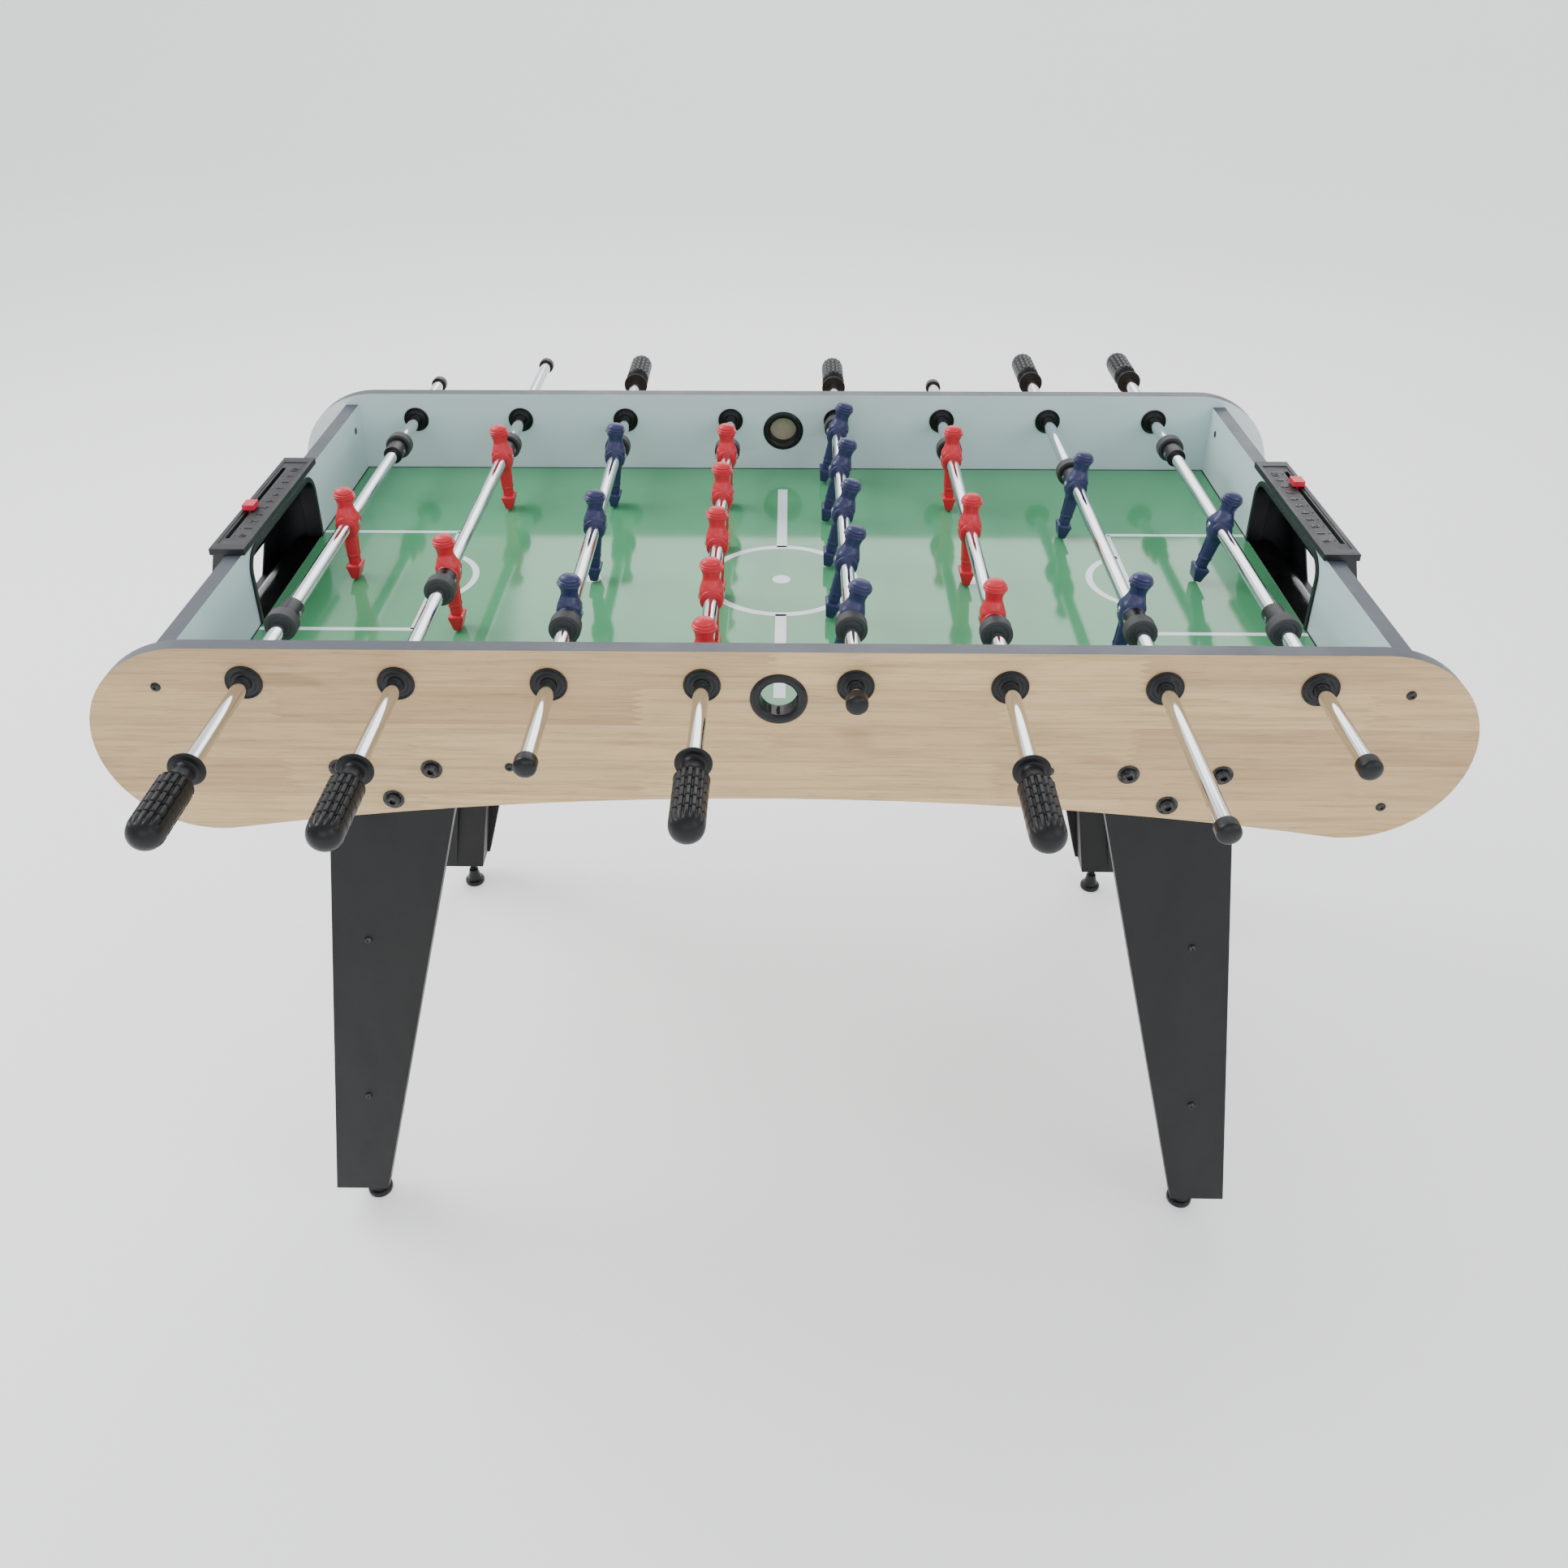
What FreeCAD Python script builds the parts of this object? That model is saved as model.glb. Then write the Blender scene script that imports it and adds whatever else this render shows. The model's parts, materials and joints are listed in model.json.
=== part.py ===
import FreeCAD, Part
import os
from FreeCAD import Rotation, Vector

# Foosball table. Millimetres. X runs along the table, Y across it towards the far player, Z up.
# The origin is on the floor under the middle of the table.

doc = FreeCAD.newDocument("FoosballTable")

sizes = [
    ("tableWidth", 738, "over the outer faces of the side panels"),
    ("topHeight", 855, "top edge of the side panels"),
    ("boardThickness", 18, "all cabinet and leg boards"),
    ("lobeRadius", 109, "round ends of a side panel"),
    ("panelMiddleHeight", 174, "side panel at the middle of its arched lower edge"),
    ("rodDrop", 37.5, "rod axis below the top edge"),
    ("rodPitch", 150, "rod to rod"),
    ("fieldDrop", 111, "playing surface below the top edge"),
    ("fieldThickness", 9, "playfield board"),
    ("endRodGap", 80, "outer rods to the end panels"),
    ("endOverhang", 70, "side panel past the end panel"),
    ("endPanelDrop", 16, "end panel top below the side panel top"),
    ("endPanelHeight", 184, "end panel board"),
    ("battenGap", 46, "batten under the playfield to the leg"),
    ("battenWidth", 22, "batten under the playfield"),
    ("battenDepth", 34, "batten under the playfield"),
    ("mouthWidth", 236, "goal mouth"),
    ("mouthHeight", 87, "goal mouth above the playing surface"),
    ("mouthCorner", 25, "upper corners of the goal mouth"),
    ("rodRadius", 7.95, "rod tube outside"),
    ("rodWall", 1.5, "rod tube wall"),
    ("runningFit", 0.08, "rod in its bearing, radial"),
    ("pressFit", 0.02, "moulded piece on the rod, radial"),
    ("bearingFlange", 18.5, "bearing flange radius"),
    ("bearingBarrel", 13, "bearing barrel radius"),
    ("bearingFlangeThickness", 3, "bearing flange"),
    ("barrelGap", 0.05, "barrel in its panel hole, radial"),
    ("bumperRadius", 17, "rubber ring radius"),
    ("bumperThickness", 15, "rubber ring"),
    ("bumperGap", 0.3, "rubber ring to the piece behind it"),
    ("bumperStop", 0.5, "rubber ring to the bearing at the end of its travel"),
    ("figureGap", 0.2, "outer figure to its stop collar or ring"),
    ("collarRadius", 12.5, "stop collar radius"),
    ("collarScrewRadius", 2, "set screw"),
    ("capRadius", 11, "rod end cap radius"),
    ("capLength", 16, "rod end cap over the rod end"),
    ("capWall", 3, "closed end of the cap"),
    ("handleLength", 107, "handle"),
    ("handleFlange", 17.5, "handle flange radius"),
    ("handleFlangeThickness", 4, "handle flange"),
    ("handleNeckLength", 20, "handle neck"),
    ("handleNeck", 12.5, "handle neck radius"),
    ("handleBody", 17, "handle body radius"),
    ("handleTip", 12, "domed end of the handle"),
    ("handleBore", 90, "rod inside the handle"),
    ("figureDepth", 28, "figure along the rod, at the shoulders"),
    ("figureBarrel", 12.5, "figure barrel round the rod, radius"),
    ("figureHead", 46, "rod axis to the top of the head"),
    ("headRadius", 12, "figure head"),
    ("figureFoot", 71, "rod axis to the sole"),
    ("footHeight", 17, "figure foot"),
    ("footWidth", 23, "figure foot along the rod"),
    ("footLength", 18, "figure foot, toe to toe"),
    ("legWidth", 17, "figure legs along the rod, at the foot"),
    ("figureBolt", 2, "bolt through the figure, radius"),
    ("figureBoltHead", 3.6, "bolt head radius"),
    ("boltGap", 0.05, "bolt in its holes, radial"),
    ("inletFlange", 28.5, "ball inlet flange radius"),
    ("inletBarrel", 22.5, "ball inlet barrel radius"),
    ("inletBore", 18.8, "ball inlet bore radius"),
    ("inletFlangeThickness", 3, "ball inlet flange"),
    ("inletBlindDepth", 14, "far inlet's pocket in the panel"),
    ("inletRise", -15.5, "inlet centre above the rod axis"),
    ("legTopInset", 144, "leg's top outer corner to the end panel"),
    ("legTopWidth", 142, "leg front board at the top"),
    ("legFootInset", 42, "leg's lower outer corner to the end panel"),
    ("legFootWidth", 66, "leg front board at the bottom"),
    ("legDepthTop", 118, "leg across the table at the top"),
    ("legDepthFoot", 58, "leg across the table at the bottom"),
    ("legBatten", 44, "batten inside the leg corner"),
    ("legBattenTop", 100, "batten stops this far below the leg top"),
    ("footHeightTotal", 48, "levelling foot, floor to leg"),
    ("padRadius", 16, "levelling foot pad radius"),
    ("padHeight", 10, "levelling foot pad"),
    ("padConeHeight", 18, "levelling foot cone"),
    ("studRadius", 5, "levelling stud"),
    ("studDepth", 40, "levelling stud inside the leg"),
    ("studHole", 60, "stud hole in the leg"),
    ("studGap", 0.2, "stud in its hole, radial"),
    ("railOverhang", 10, "score rail past the hood"),
    ("railWidth", 40, "score rail across"),
    ("railThickness", 8, "score rail"),
    ("railInset", 4, "score rail over the pitch side of the end panel"),
    ("railRecess", 1.2, "sunk panel of the score rail"),
    ("railRecessMargin", 5, "rim round the sunk panel"),
    ("slotWidth", 5, "slot for the score marker"),
    ("slotMargin", 31, "score rail past the slot"),
    ("slotFromEdge", 10, "slot centre from the rail's outer edge"),
    ("hoodMargin", 6, "goal hood past the mouth"),
    ("hoodDepthTop", 18, "goal hood at the rail"),
    ("hoodDepthFoot", 48, "goal hood at its floor"),
    ("hoodDrop", 29, "goal hood floor below the playing surface"),
    ("mouldWall", 3, "goal moulding wall"),
    ("windowWidth", 120, "ball return window"),
    ("windowHeight", 48, "ball return window"),
    ("hoodFlange", 12, "goal hood side flange"),
    ("linerWall", 2.5, "goal mouth liner"),
    ("linerLip", 4, "goal mouth liner lip"),
    ("markerGap", 0.3, "score marker in its slot"),
    ("markerWidth", 14, "score marker knob across"),
    ("markerLength", 18, "score marker knob along"),
    ("markerHeight", 6.5, "score marker knob"),
    ("markerFoot", 8, "score marker foot across"),
    ("markerFootHeight", 3, "score marker foot"),
    ("legBoltShank", 4, "leg bolt radius"),
    ("legBoltHead", 7, "leg bolt head radius"),
    ("legBoltHeadHeight", 5, "leg bolt head"),
    ("legBoltWasher", 11, "leg bolt washer radius"),
    ("washerThickness", 1.6, "leg bolt washer"),
    ("insertRadius", 6, "threaded insert in the leg board"),
    ("screwShank", 2.5, "wood screw radius"),
    ("screwHead", 5, "wood screw head radius"),
    ("screwHeadHeight", 3, "wood screw head"),
    ("screwLength", 50, "wood screw"),
    ("fieldLength", "=7 * rodPitch + 2 * endRodGap", "between the end panels"),
    ("panelLength", "=fieldLength + 2 * boardThickness + 2 * endOverhang", "side panel, end to end"),
    ("legTopOuter", "=fieldLength / 2 - legTopInset", "leg front board at the top, outer edge"),
    ("legTopInner", "=legTopOuter - legTopWidth", "leg front board at the top, inner edge"),
    ("legFootOuter", "=fieldLength / 2 - legFootInset", "leg front board at the bottom, outer edge"),
    ("legFootInner", "=legFootOuter - legFootWidth", "leg front board at the bottom, inner edge"),
    ("battenOffset", "=legTopInner - battenGap", "batten under the playfield, from the middle"),
    ("hoodWidth", "=mouthWidth + 2 * hoodMargin", "goal hood"),
    ("railLength", "=hoodWidth + 2 * railOverhang", "score rail"),
    ("slotLength", "=railLength - 2 * slotMargin", "slot for the score marker"),
]

sheet = doc.addObject("Spreadsheet::Sheet", "Sizes")
for row, (alias, value, note) in enumerate(sizes, start=1):
    sheet.set(f"A{row}", note)
    sheet.set(f"B{row}", str(value))
    sheet.setAlias(f"B{row}", alias)
doc.recompute()

ACROSS = Rotation(Vector(1, 0, 0), -90)
ALONG = Rotation(Vector(0, 1, 0), 90)
UPRIGHT = Rotation()
WEDGE_UP = Rotation(Vector(1, 0, 0), 90)
HALF_TURN = Rotation(Vector(0, 0, 1), 180)


def use(text):
    """Turns names of sizes in an expression into references to the sheet."""
    words = []
    word = ""
    for letter in str(text) + " ":
        if letter.isalnum():
            word = word + letter
            continue
        known = any(word == alias for alias, value, note in sizes)
        words.append("Sizes." + word if known else word)
        words.append(letter)
        word = ""
    return "".join(words).strip()


def bind(item, properties):
    for name, text in properties.items():
        item.setExpression(name, use(text))


def place(item, at, turn=UPRIGHT):
    item.Placement = FreeCAD.Placement(Vector(0, 0, 0), turn)
    for axis, text in zip("xyz", at):
        item.setExpression(f"Placement.Base.{axis}", use(text))
    return item


def box(name, at, length, width, height):
    item = doc.addObject("Part::Box", name)
    bind(item, {"Length": length, "Width": width, "Height": height})
    return place(item, at)


def cylinder(name, at, radius, height, turn=UPRIGHT):
    item = doc.addObject("Part::Cylinder", name)
    bind(item, {"Radius": radius, "Height": height})
    return place(item, at, turn)


def cone(name, at, radius, end, height, turn=UPRIGHT):
    item = doc.addObject("Part::Cone", name)
    bind(item, {"Radius1": radius, "Radius2": end, "Height": height})
    return place(item, at, turn)


def ellipsoid(name, at, up, along, across):
    item = doc.addObject("Part::Ellipsoid", name)
    bind(item, {"Radius1": up, "Radius2": along, "Radius3": across})
    return place(item, at)


def wedge(name, at, foot, top, height, turn=WEDGE_UP):
    """A tapered board: foot and top are each its start and end along X, then along the depth."""
    item = doc.addObject("Part::Wedge", name)
    bind(item, {"Xmin": foot[0], "Xmax": foot[1], "Zmin": foot[2], "Zmax": foot[3]})
    bind(item, {"X2min": top[0], "X2max": top[1], "Z2min": top[2], "Z2max": top[3]})
    bind(item, {"Ymin": "0", "Ymax": height})
    return place(item, at, turn)


def fuse(name, items):
    item = doc.addObject("Part::MultiFuse", name)
    item.Shapes = items
    item.Refine = True
    return item


def cut(name, base, tools):
    item = doc.addObject("Part::Cut", name)
    item.Base = base
    item.Tool = tools[0] if len(tools) == 1 else compound(name + "Tools", tools)
    return item


def compound(name, items):
    item = doc.addObject("Part::Compound", name)
    item.Links = items
    return item


def mirror(name, source, normal):
    item = doc.addObject("Part::Mirroring", name)
    item.Source = source
    item.Normal = normal
    return item


def copy(name, source, at, turn=UPRIGHT):
    item = doc.addObject("App::Link", name)
    item.LinkedObject = source
    item.LinkTransform = False
    return place(item, at, turn)


nodes = []


def node(label, item):
    item.Label = label
    nodes.append(item)
    return item


# ---------------------------------------------------------------- places worked out from the sizes

rodHeight = "(topHeight - rodDrop)"
fieldTop = "(topHeight - fieldDrop)"
fieldBottom = "(topHeight - fieldDrop - fieldThickness)"
outerFace = "(tableWidth / 2)"
innerFace = "(tableWidth / 2 - boardThickness)"
lobeHeight = "(topHeight - lobeRadius)"
lobeOffset = "(panelLength / 2 - lobeRadius)"
archDrop = "(panelMiddleHeight - lobeRadius)"
archRadius = (f"(({lobeOffset} ^ 2 + {archDrop} ^ 2 - lobeRadius ^ 2)"
              f" / (2 * (lobeRadius - {archDrop})))")
legTop = fieldBottom
legHeight = "(topHeight - fieldDrop - fieldThickness - footHeightTotal)"
mouthBox = "(mouthHeight - mouthCorner)"

# One row per rod: side of its handle, shares of its figures' reach, travel each way, collar length,
# end cap and handle flange beyond that travel, where it stands across the table, its figures' lean.
rods = [
    {"number": 1, "side": -1, "figures": [0], "travel": 88, "collar": 30,
     "capSpare": 50, "gripSpare": 56, "stand": 0, "lean": 0},
    {"number": 2, "side": -1, "figures": [-1, 1], "travel": 128, "collar": 22,
     "capSpare": 58, "gripSpare": 55, "stand": 40, "lean": -3},
    {"number": 3, "side": 1, "figures": [-1, 0, 1], "travel": 88, "collar": 10,
     "capSpare": 53, "gripSpare": 40, "stand": -3, "lean": 4},
    {"number": 4, "side": -1, "figures": [-1, -0.5, 0, 0.5, 1], "travel": 52, "collar": 0,
     "capSpare": 21, "gripSpare": 27, "stand": -50, "lean": 0},
    {"number": 5, "side": 1, "figures": [-1, -0.5, 0, 0.5, 1], "travel": 52, "collar": 0,
     "capSpare": 21, "gripSpare": 27, "stand": 36, "lean": 15},
    {"number": 6, "side": -1, "figures": [-1, 0, 1], "travel": 88, "collar": 10,
     "capSpare": 53, "gripSpare": 40, "stand": -9, "lean": 0},
    {"number": 7, "side": 1, "figures": [-1, 1], "travel": 128, "collar": 22,
     "capSpare": 58, "gripSpare": 55, "stand": -45, "lean": 10},
    {"number": 8, "side": 1, "figures": [0], "travel": 88, "collar": 30,
     "capSpare": 50, "gripSpare": 56, "stand": 0, "lean": 15},
]

# Leg bolts: past the leg's inner top corner, and below the top edge.
legBolts = [(34, 140), (78, 178), (128, 140)]
# Drops below the top edge: end panel screws, then the leg screws with their inset from the edge.
endScrewDrops = [44, 178]
battenScrewDrop = 137
legScrews = [(41, 387), (41, 637)]


# ---------------------------------------------------------------- cabinet

def sidePanel(name, side):
    start = f"-{outerFace}" if side < 0 else innerFace
    middle = box(name + "Middle", (f"-{lobeOffset}", start, f"{lobeHeight} - lobeRadius"),
                 f"2 * {lobeOffset}", "boardThickness", "2 * lobeRadius")
    lobes = [cylinder(f"{name}Lobe{end}", (f"{end} * {lobeOffset}", start, lobeHeight),
                      "lobeRadius", "boardThickness", ACROSS) for end in (-1, 1)]
    blank = fuse(name + "Blank", [middle] + lobes)
    arch = cylinder(name + "Arch", ("0", start, f"topHeight - panelMiddleHeight - {archRadius}"),
                    archRadius, "boardThickness", ACROSS)
    tools = [arch]
    for rod in rods:
        tools.append(cylinder(f"{name}Bore{rod['number']}",
                              (f"({rod['number']} - 4.5) * rodPitch", start, rodHeight),
                              "bearingBarrel + barrelGap", "boardThickness", ACROSS))
    inlet = "boardThickness" if side < 0 else "inletBlindDepth"
    tools.append(cylinder(name + "Inlet", ("0", start, f"{rodHeight} + inletRise"),
                          "inletBarrel + barrelGap", inlet, ACROSS))
    for x, drop in legBolts:
        for end in (-1, 1):
            tools.append(cylinder(name + "BoltHole", (legBoltX(end, x), start, f"topHeight - {drop}"),
                                  "legBoltShank + boltGap", "boardThickness", ACROSS))
    for end in (-1, 1):
        for place_, drop in screwPlaces(end):
            tools.append(cylinder(name + "ScrewHole", (place_, start, f"topHeight - {drop}"),
                                  "screwShank + boltGap", "boardThickness", ACROSS))
    return cut(name, blank, tools)


def legBoltX(end, past):
    return f"{end} * (legTopInner + {past})"


def screwPlaces(end):
    """Wood screws of a side panel: two into an end panel, one into a playfield batten."""
    edge = f"{end} * (fieldLength / 2 + boardThickness / 2)"
    places = [(edge, drop) for drop in endScrewDrops]
    places.append((f"{end} * battenOffset", battenScrewDrop))
    return places


def mouthShape(name, start, depth, margin):
    """The goal mouth as a solid: an upright box with two rounded upper corners."""
    half = f"(mouthWidth / 2 - {margin})"
    corner = f"(mouthCorner - {margin})"
    low = box(name + "Low", (start, f"-{half}", fieldTop), depth, f"2 * {half}", mouthBox)
    high = box(name + "High", (start, f"-(mouthWidth / 2 - mouthCorner)", fieldTop),
               depth, "mouthWidth - 2 * mouthCorner", f"mouthHeight - {margin}")
    rounds = [cylinder(f"{name}Round{end}",
                       (start, f"{end} * (mouthWidth / 2 - mouthCorner)", f"{fieldTop} + {mouthBox}"),
                       corner, depth, ALONG) for end in (-1, 1)]
    return fuse(name, [low, high] + rounds)


def endPanel(name):
    """The right-hand end panel, with its goal mouth and screw holes."""
    start = "fieldLength / 2"
    bottom = "topHeight - endPanelDrop - endPanelHeight"
    board = box(name + "Board", (start, f"-{innerFace}", bottom),
                "boardThickness", f"2 * {innerFace}", "endPanelHeight")
    tools = [mouthShape(name + "Mouth", start, "boardThickness", "0")]
    for side in (-1, 1):
        for drop in endScrewDrops:
            tools.append(screwHole(name, side, f"{start} + boardThickness / 2", drop))
    return cut(name, board, tools)


def screwHole(name, side, x, drop):
    depth = "(screwLength - boardThickness)"
    start = f"-{innerFace}" if side < 0 else f"{innerFace} - {depth}"
    return cylinder(name + "Pilot", (x, start, f"topHeight - {drop}"),
                    "screwShank + boltGap", depth, ACROSS)


def playfield():
    board = box("PlayfieldBoard", ("-fieldLength / 2", f"-{innerFace}", fieldBottom),
                "fieldLength", f"2 * {innerFace}", "fieldThickness")
    pieces = [board]
    for end in (-1, 1):
        batten = box("BattenBlank", (f"{end} * battenOffset - battenWidth / 2", f"-{innerFace}",
                                     f"{fieldBottom} - battenDepth"),
                     "battenWidth", f"2 * {innerFace}", "battenDepth")
        holes = [screwHole("Batten", side, f"{end} * battenOffset", battenScrewDrop)
                 for side in (-1, 1)]
        pieces.append(cut("Batten", batten, holes))
    return compound("Playfield", pieces)


# ---------------------------------------------------------------- legs and feet

def outerEdge(drop):
    """The leg's slanting outer edge at a drop below the leg's top."""
    return f"(legTopOuter + (legFootOuter - legTopOuter) * ({drop}) / {legHeight})"


def leg(name):
    """The front right-hand leg: tapered front and end boards and the batten in their corner."""
    origin = ("0", f"-{innerFace}", "footHeightTotal")
    front = wedge(name + "Front", origin,
                  ("legFootInner", "legFootOuter", "-boardThickness", "0"),
                  ("legTopInner", "legTopOuter", "-boardThickness", "0"), legHeight)
    end = wedge(name + "End", origin,
                ("legFootOuter - boardThickness", "legFootOuter", "-legDepthFoot", "-boardThickness"),
                ("legTopOuter - boardThickness", "legTopOuter", "-legDepthTop", "-boardThickness"),
                legHeight)
    foot = "(legFootOuter - boardThickness)"
    top = f"({outerEdge('legBattenTop')} - boardThickness)"
    back = "-legDepthFoot"
    batten = wedge(name + "Batten", origin,
                   (f"{foot} - legBatten", foot, back, "-boardThickness"),
                   (f"{top} - legBatten", top, back, "-boardThickness"),
                   f"{legHeight} - legBattenTop")
    boltHoles = [cylinder(name + "Insert", (legBoltX(1, x), f"-{innerFace}", f"topHeight - {drop}"),
                          "insertRadius + boltGap", "boardThickness", ACROSS)
                 for x, drop in legBolts]
    screwHoles = [cylinder(name + "Screw", (legScrewX(inset, drop), f"-{innerFace}",
                                            f"topHeight - {drop}"),
                           "screwShank + boltGap", "boardThickness", ACROSS)
                  for inset, drop in legScrews]
    stud = cylinder(name + "StudHole", (footX, footY, "footHeightTotal"),
                    "studRadius + studGap", "studHole")
    pilots = [cylinder(name + "Pilot", (legScrewX(inset, drop), f"-{innerFace} + boardThickness",
                                        f"topHeight - {drop}"),
                       "screwShank + boltGap", "legDepthFoot - boardThickness - 8", ACROSS)
              for inset, drop in legScrews]
    return compound(name, [cut(name + "FrontBoard", front, boltHoles + screwHoles), end,
                           cut(name + "CornerBatten", batten, [stud] + pilots)])


def legScrewX(inset, drop):
    return f"{outerEdge(f'{drop} - fieldDrop - fieldThickness')} - {inset}"


footX = "(legFootOuter - boardThickness - legBatten / 2)"
footY = f"(-{innerFace} + boardThickness + (legDepthFoot - boardThickness) / 2)"


def levellingFoot(name, end, side):
    x = f"{end} * {footX}"
    y = footY if side < 0 else f"-{footY}"
    pad = cylinder(name + "Pad", (x, y, "0"), "padRadius", "padHeight")
    skirt = cone(name + "Cone", (x, y, "padHeight"), "padRadius * 0.8", "studRadius * 1.5",
                 "padConeHeight")
    stud = cylinder(name + "Stud", (x, y, "padHeight"), "studRadius",
                    "footHeightTotal - padHeight + studDepth")
    return fuse(name, [pad, skirt, stud])


# ---------------------------------------------------------------- goals and score rails

outside = "(fieldLength / 2 + boardThickness)"
railStart = "(fieldLength / 2 - railInset)"
railBottom = "(topHeight - endPanelDrop)"
slotX = f"({railStart} + railWidth - slotFromEdge)"
hoodBottom = f"({fieldTop} - hoodDrop - mouldWall)"
hoodHeight = f"({railBottom} - {hoodBottom})"


def goal(name):
    """The right-hand goal moulding: score rail, hood with its ball return, and mouth liner."""
    rail = box(name + "Rail", (railStart, "-railLength / 2", railBottom),
               "railWidth", "railLength", "railThickness")
    sunk = box(name + "Sunk", (f"{railStart} + railRecessMargin", "-railLength / 2 + 15",
                               f"{railBottom} + railThickness - railRecess"),
               "railWidth - 2 * railRecessMargin", "railLength - 30", "railRecess")
    slot = box(name + "Slot", (f"{slotX} - slotWidth / 2", "-slotLength / 2", railBottom),
               "slotWidth", "slotLength", "railThickness")
    depth = "hoodWidth / 2"
    hood = wedge(name + "Hood", (outside, "0", hoodBottom),
                 ("0", "hoodDepthFoot", f"-{depth}", depth),
                 ("0", "hoodDepthTop", f"-{depth}", depth), hoodHeight)
    inner = "(hoodWidth / 2 - mouldWall)"
    hollow = wedge(name + "Hollow", (outside, "0", f"{hoodBottom} + mouldWall"),
                   ("0", "hoodDepthFoot - mouldWall", f"-{inner}", inner),
                   ("0", "hoodDepthTop - mouldWall", f"-{inner}", inner),
                   f"{hoodHeight} - mouldWall")
    window = box(name + "Window", (f"{outside} + mouldWall", "-windowWidth / 2",
                                   f"{hoodBottom} + mouldWall"),
                 "hoodDepthFoot", "windowWidth", "windowHeight")
    flanges = [box(name + "Flange", (outside, f"{side} * (hoodWidth + hoodFlange) / 2 - hoodFlange / 2",
                                     hoodBottom), "mouldWall", "hoodFlange", hoodHeight)
               for side in (-1, 1)]
    liner = cut(name + "Liner", mouthShape(name + "Outer", "fieldLength / 2", "boardThickness", "0"),
                [mouthShape(name + "Inner", "fieldLength / 2", "boardThickness", "linerWall")])
    lip = cut(name + "Lip",
              mouthShape(name + "LipOuter", "fieldLength / 2 - linerWall", "linerWall", "-linerLip"),
              [mouthShape(name + "LipInner", "fieldLength / 2 - linerWall", "linerWall", "linerWall")])
    shell = cut(name + "Shell", hood, [hollow, window])
    return cut(name, fuse(name + "Moulding", [rail, shell, liner, lip] + flanges), [sunk, slot])


def scoreMarker(name, end):
    """The sliding marker of a score rail, with its stem in the slot and its foot below."""
    x = f"{end} * {slotX}"
    stem = "(slotWidth - 2 * markerGap)"
    top = f"({railBottom} + railThickness + markerGap)"
    knob = box(name + "Knob", (f"{x} - markerWidth / 2", f"{markerY(end)} - markerLength / 2", top),
               "markerWidth", "markerLength", "markerHeight")
    foot = f"({railBottom} - markerGap - markerFootHeight)"
    neck = box(name + "Stem", (f"{x} - {stem} / 2", f"{markerY(end)} - {stem}", foot),
               stem, f"2 * {stem}", f"{top} - {foot}")
    plate = box(name + "Foot", (f"{x} - markerFoot / 2", f"{markerY(end)} - markerFoot / 2", foot),
                "markerFoot", "markerFoot", "markerFootHeight")
    return fuse(name, [knob, neck, plate])


def markerY(end):
    """Where the marker stands now: near the low numbers on the left, the middle on the right."""
    return "-22" if end < 0 else "62"


# ---------------------------------------------------------------- rods

def rodX(rod):
    return f"(({rod['number']} - 4.5) * rodPitch)"


def ringPlace(rod):
    """Middle of a rubber ring, from the middle of its rod."""
    return (f"({innerFace} - bearingFlangeThickness - {rod['travel']} - bumperStop"
            " - bumperThickness / 2)")


def capPlace(rod):
    return f"({outerFace} + bearingFlangeThickness + {rod['travel']} + {rod['capSpare']})"


def gripPlace(rod):
    return f"({outerFace} + bearingFlangeThickness + {rod['travel']} + {rod['gripSpare']})"


def figureY(rod, share):
    """Outer figures stand against their collars, and the others at equal steps between them."""
    reach = (f"({ringPlace(rod)} - bumperThickness / 2 - bumperGap - {rod['collar']}"
             " - figureGap - figureDepth / 2)")
    return f"{rod['stand']} + {share} * {reach}"


def rodTube(rod):
    name = f"Rod{rod['number']}Tube"
    grip = f"({gripPlace(rod)} + handleBore)"
    length = f"({capPlace(rod)} - capWall + {grip})"
    near = f"({capPlace(rod)} - capWall)" if rod["side"] > 0 else grip
    low = f"{rod['stand']} - {near}"
    outer = cylinder(name + "Outer", (rodX(rod), low, rodHeight), "rodRadius", length, ACROSS)
    inner = cylinder(name + "Inner", (rodX(rod), low, rodHeight), "rodRadius - rodWall",
                     length, ACROSS)
    holes = [figureHole(name, rod, share) for share in rod["figures"]]
    return cut(name, outer, [inner] + holes)


def figureHole(name, rod, share):
    """A hole square to the leaning figure, for the bolt that pins it to the rod."""
    turn = Rotation(Vector(0, 1, 0), 90 + rod["lean"])
    lean = rod["lean"]
    reach = "(figureBarrel + 2)"
    at = (f"{rodX(rod)} - cos({lean} deg) * {reach}", figureY(rod, share),
          f"{rodHeight} + sin({lean} deg) * {reach}")
    return cylinder(name + "Hole", at, "figureBolt + boltGap", f"2 * {reach}", turn)


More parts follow.
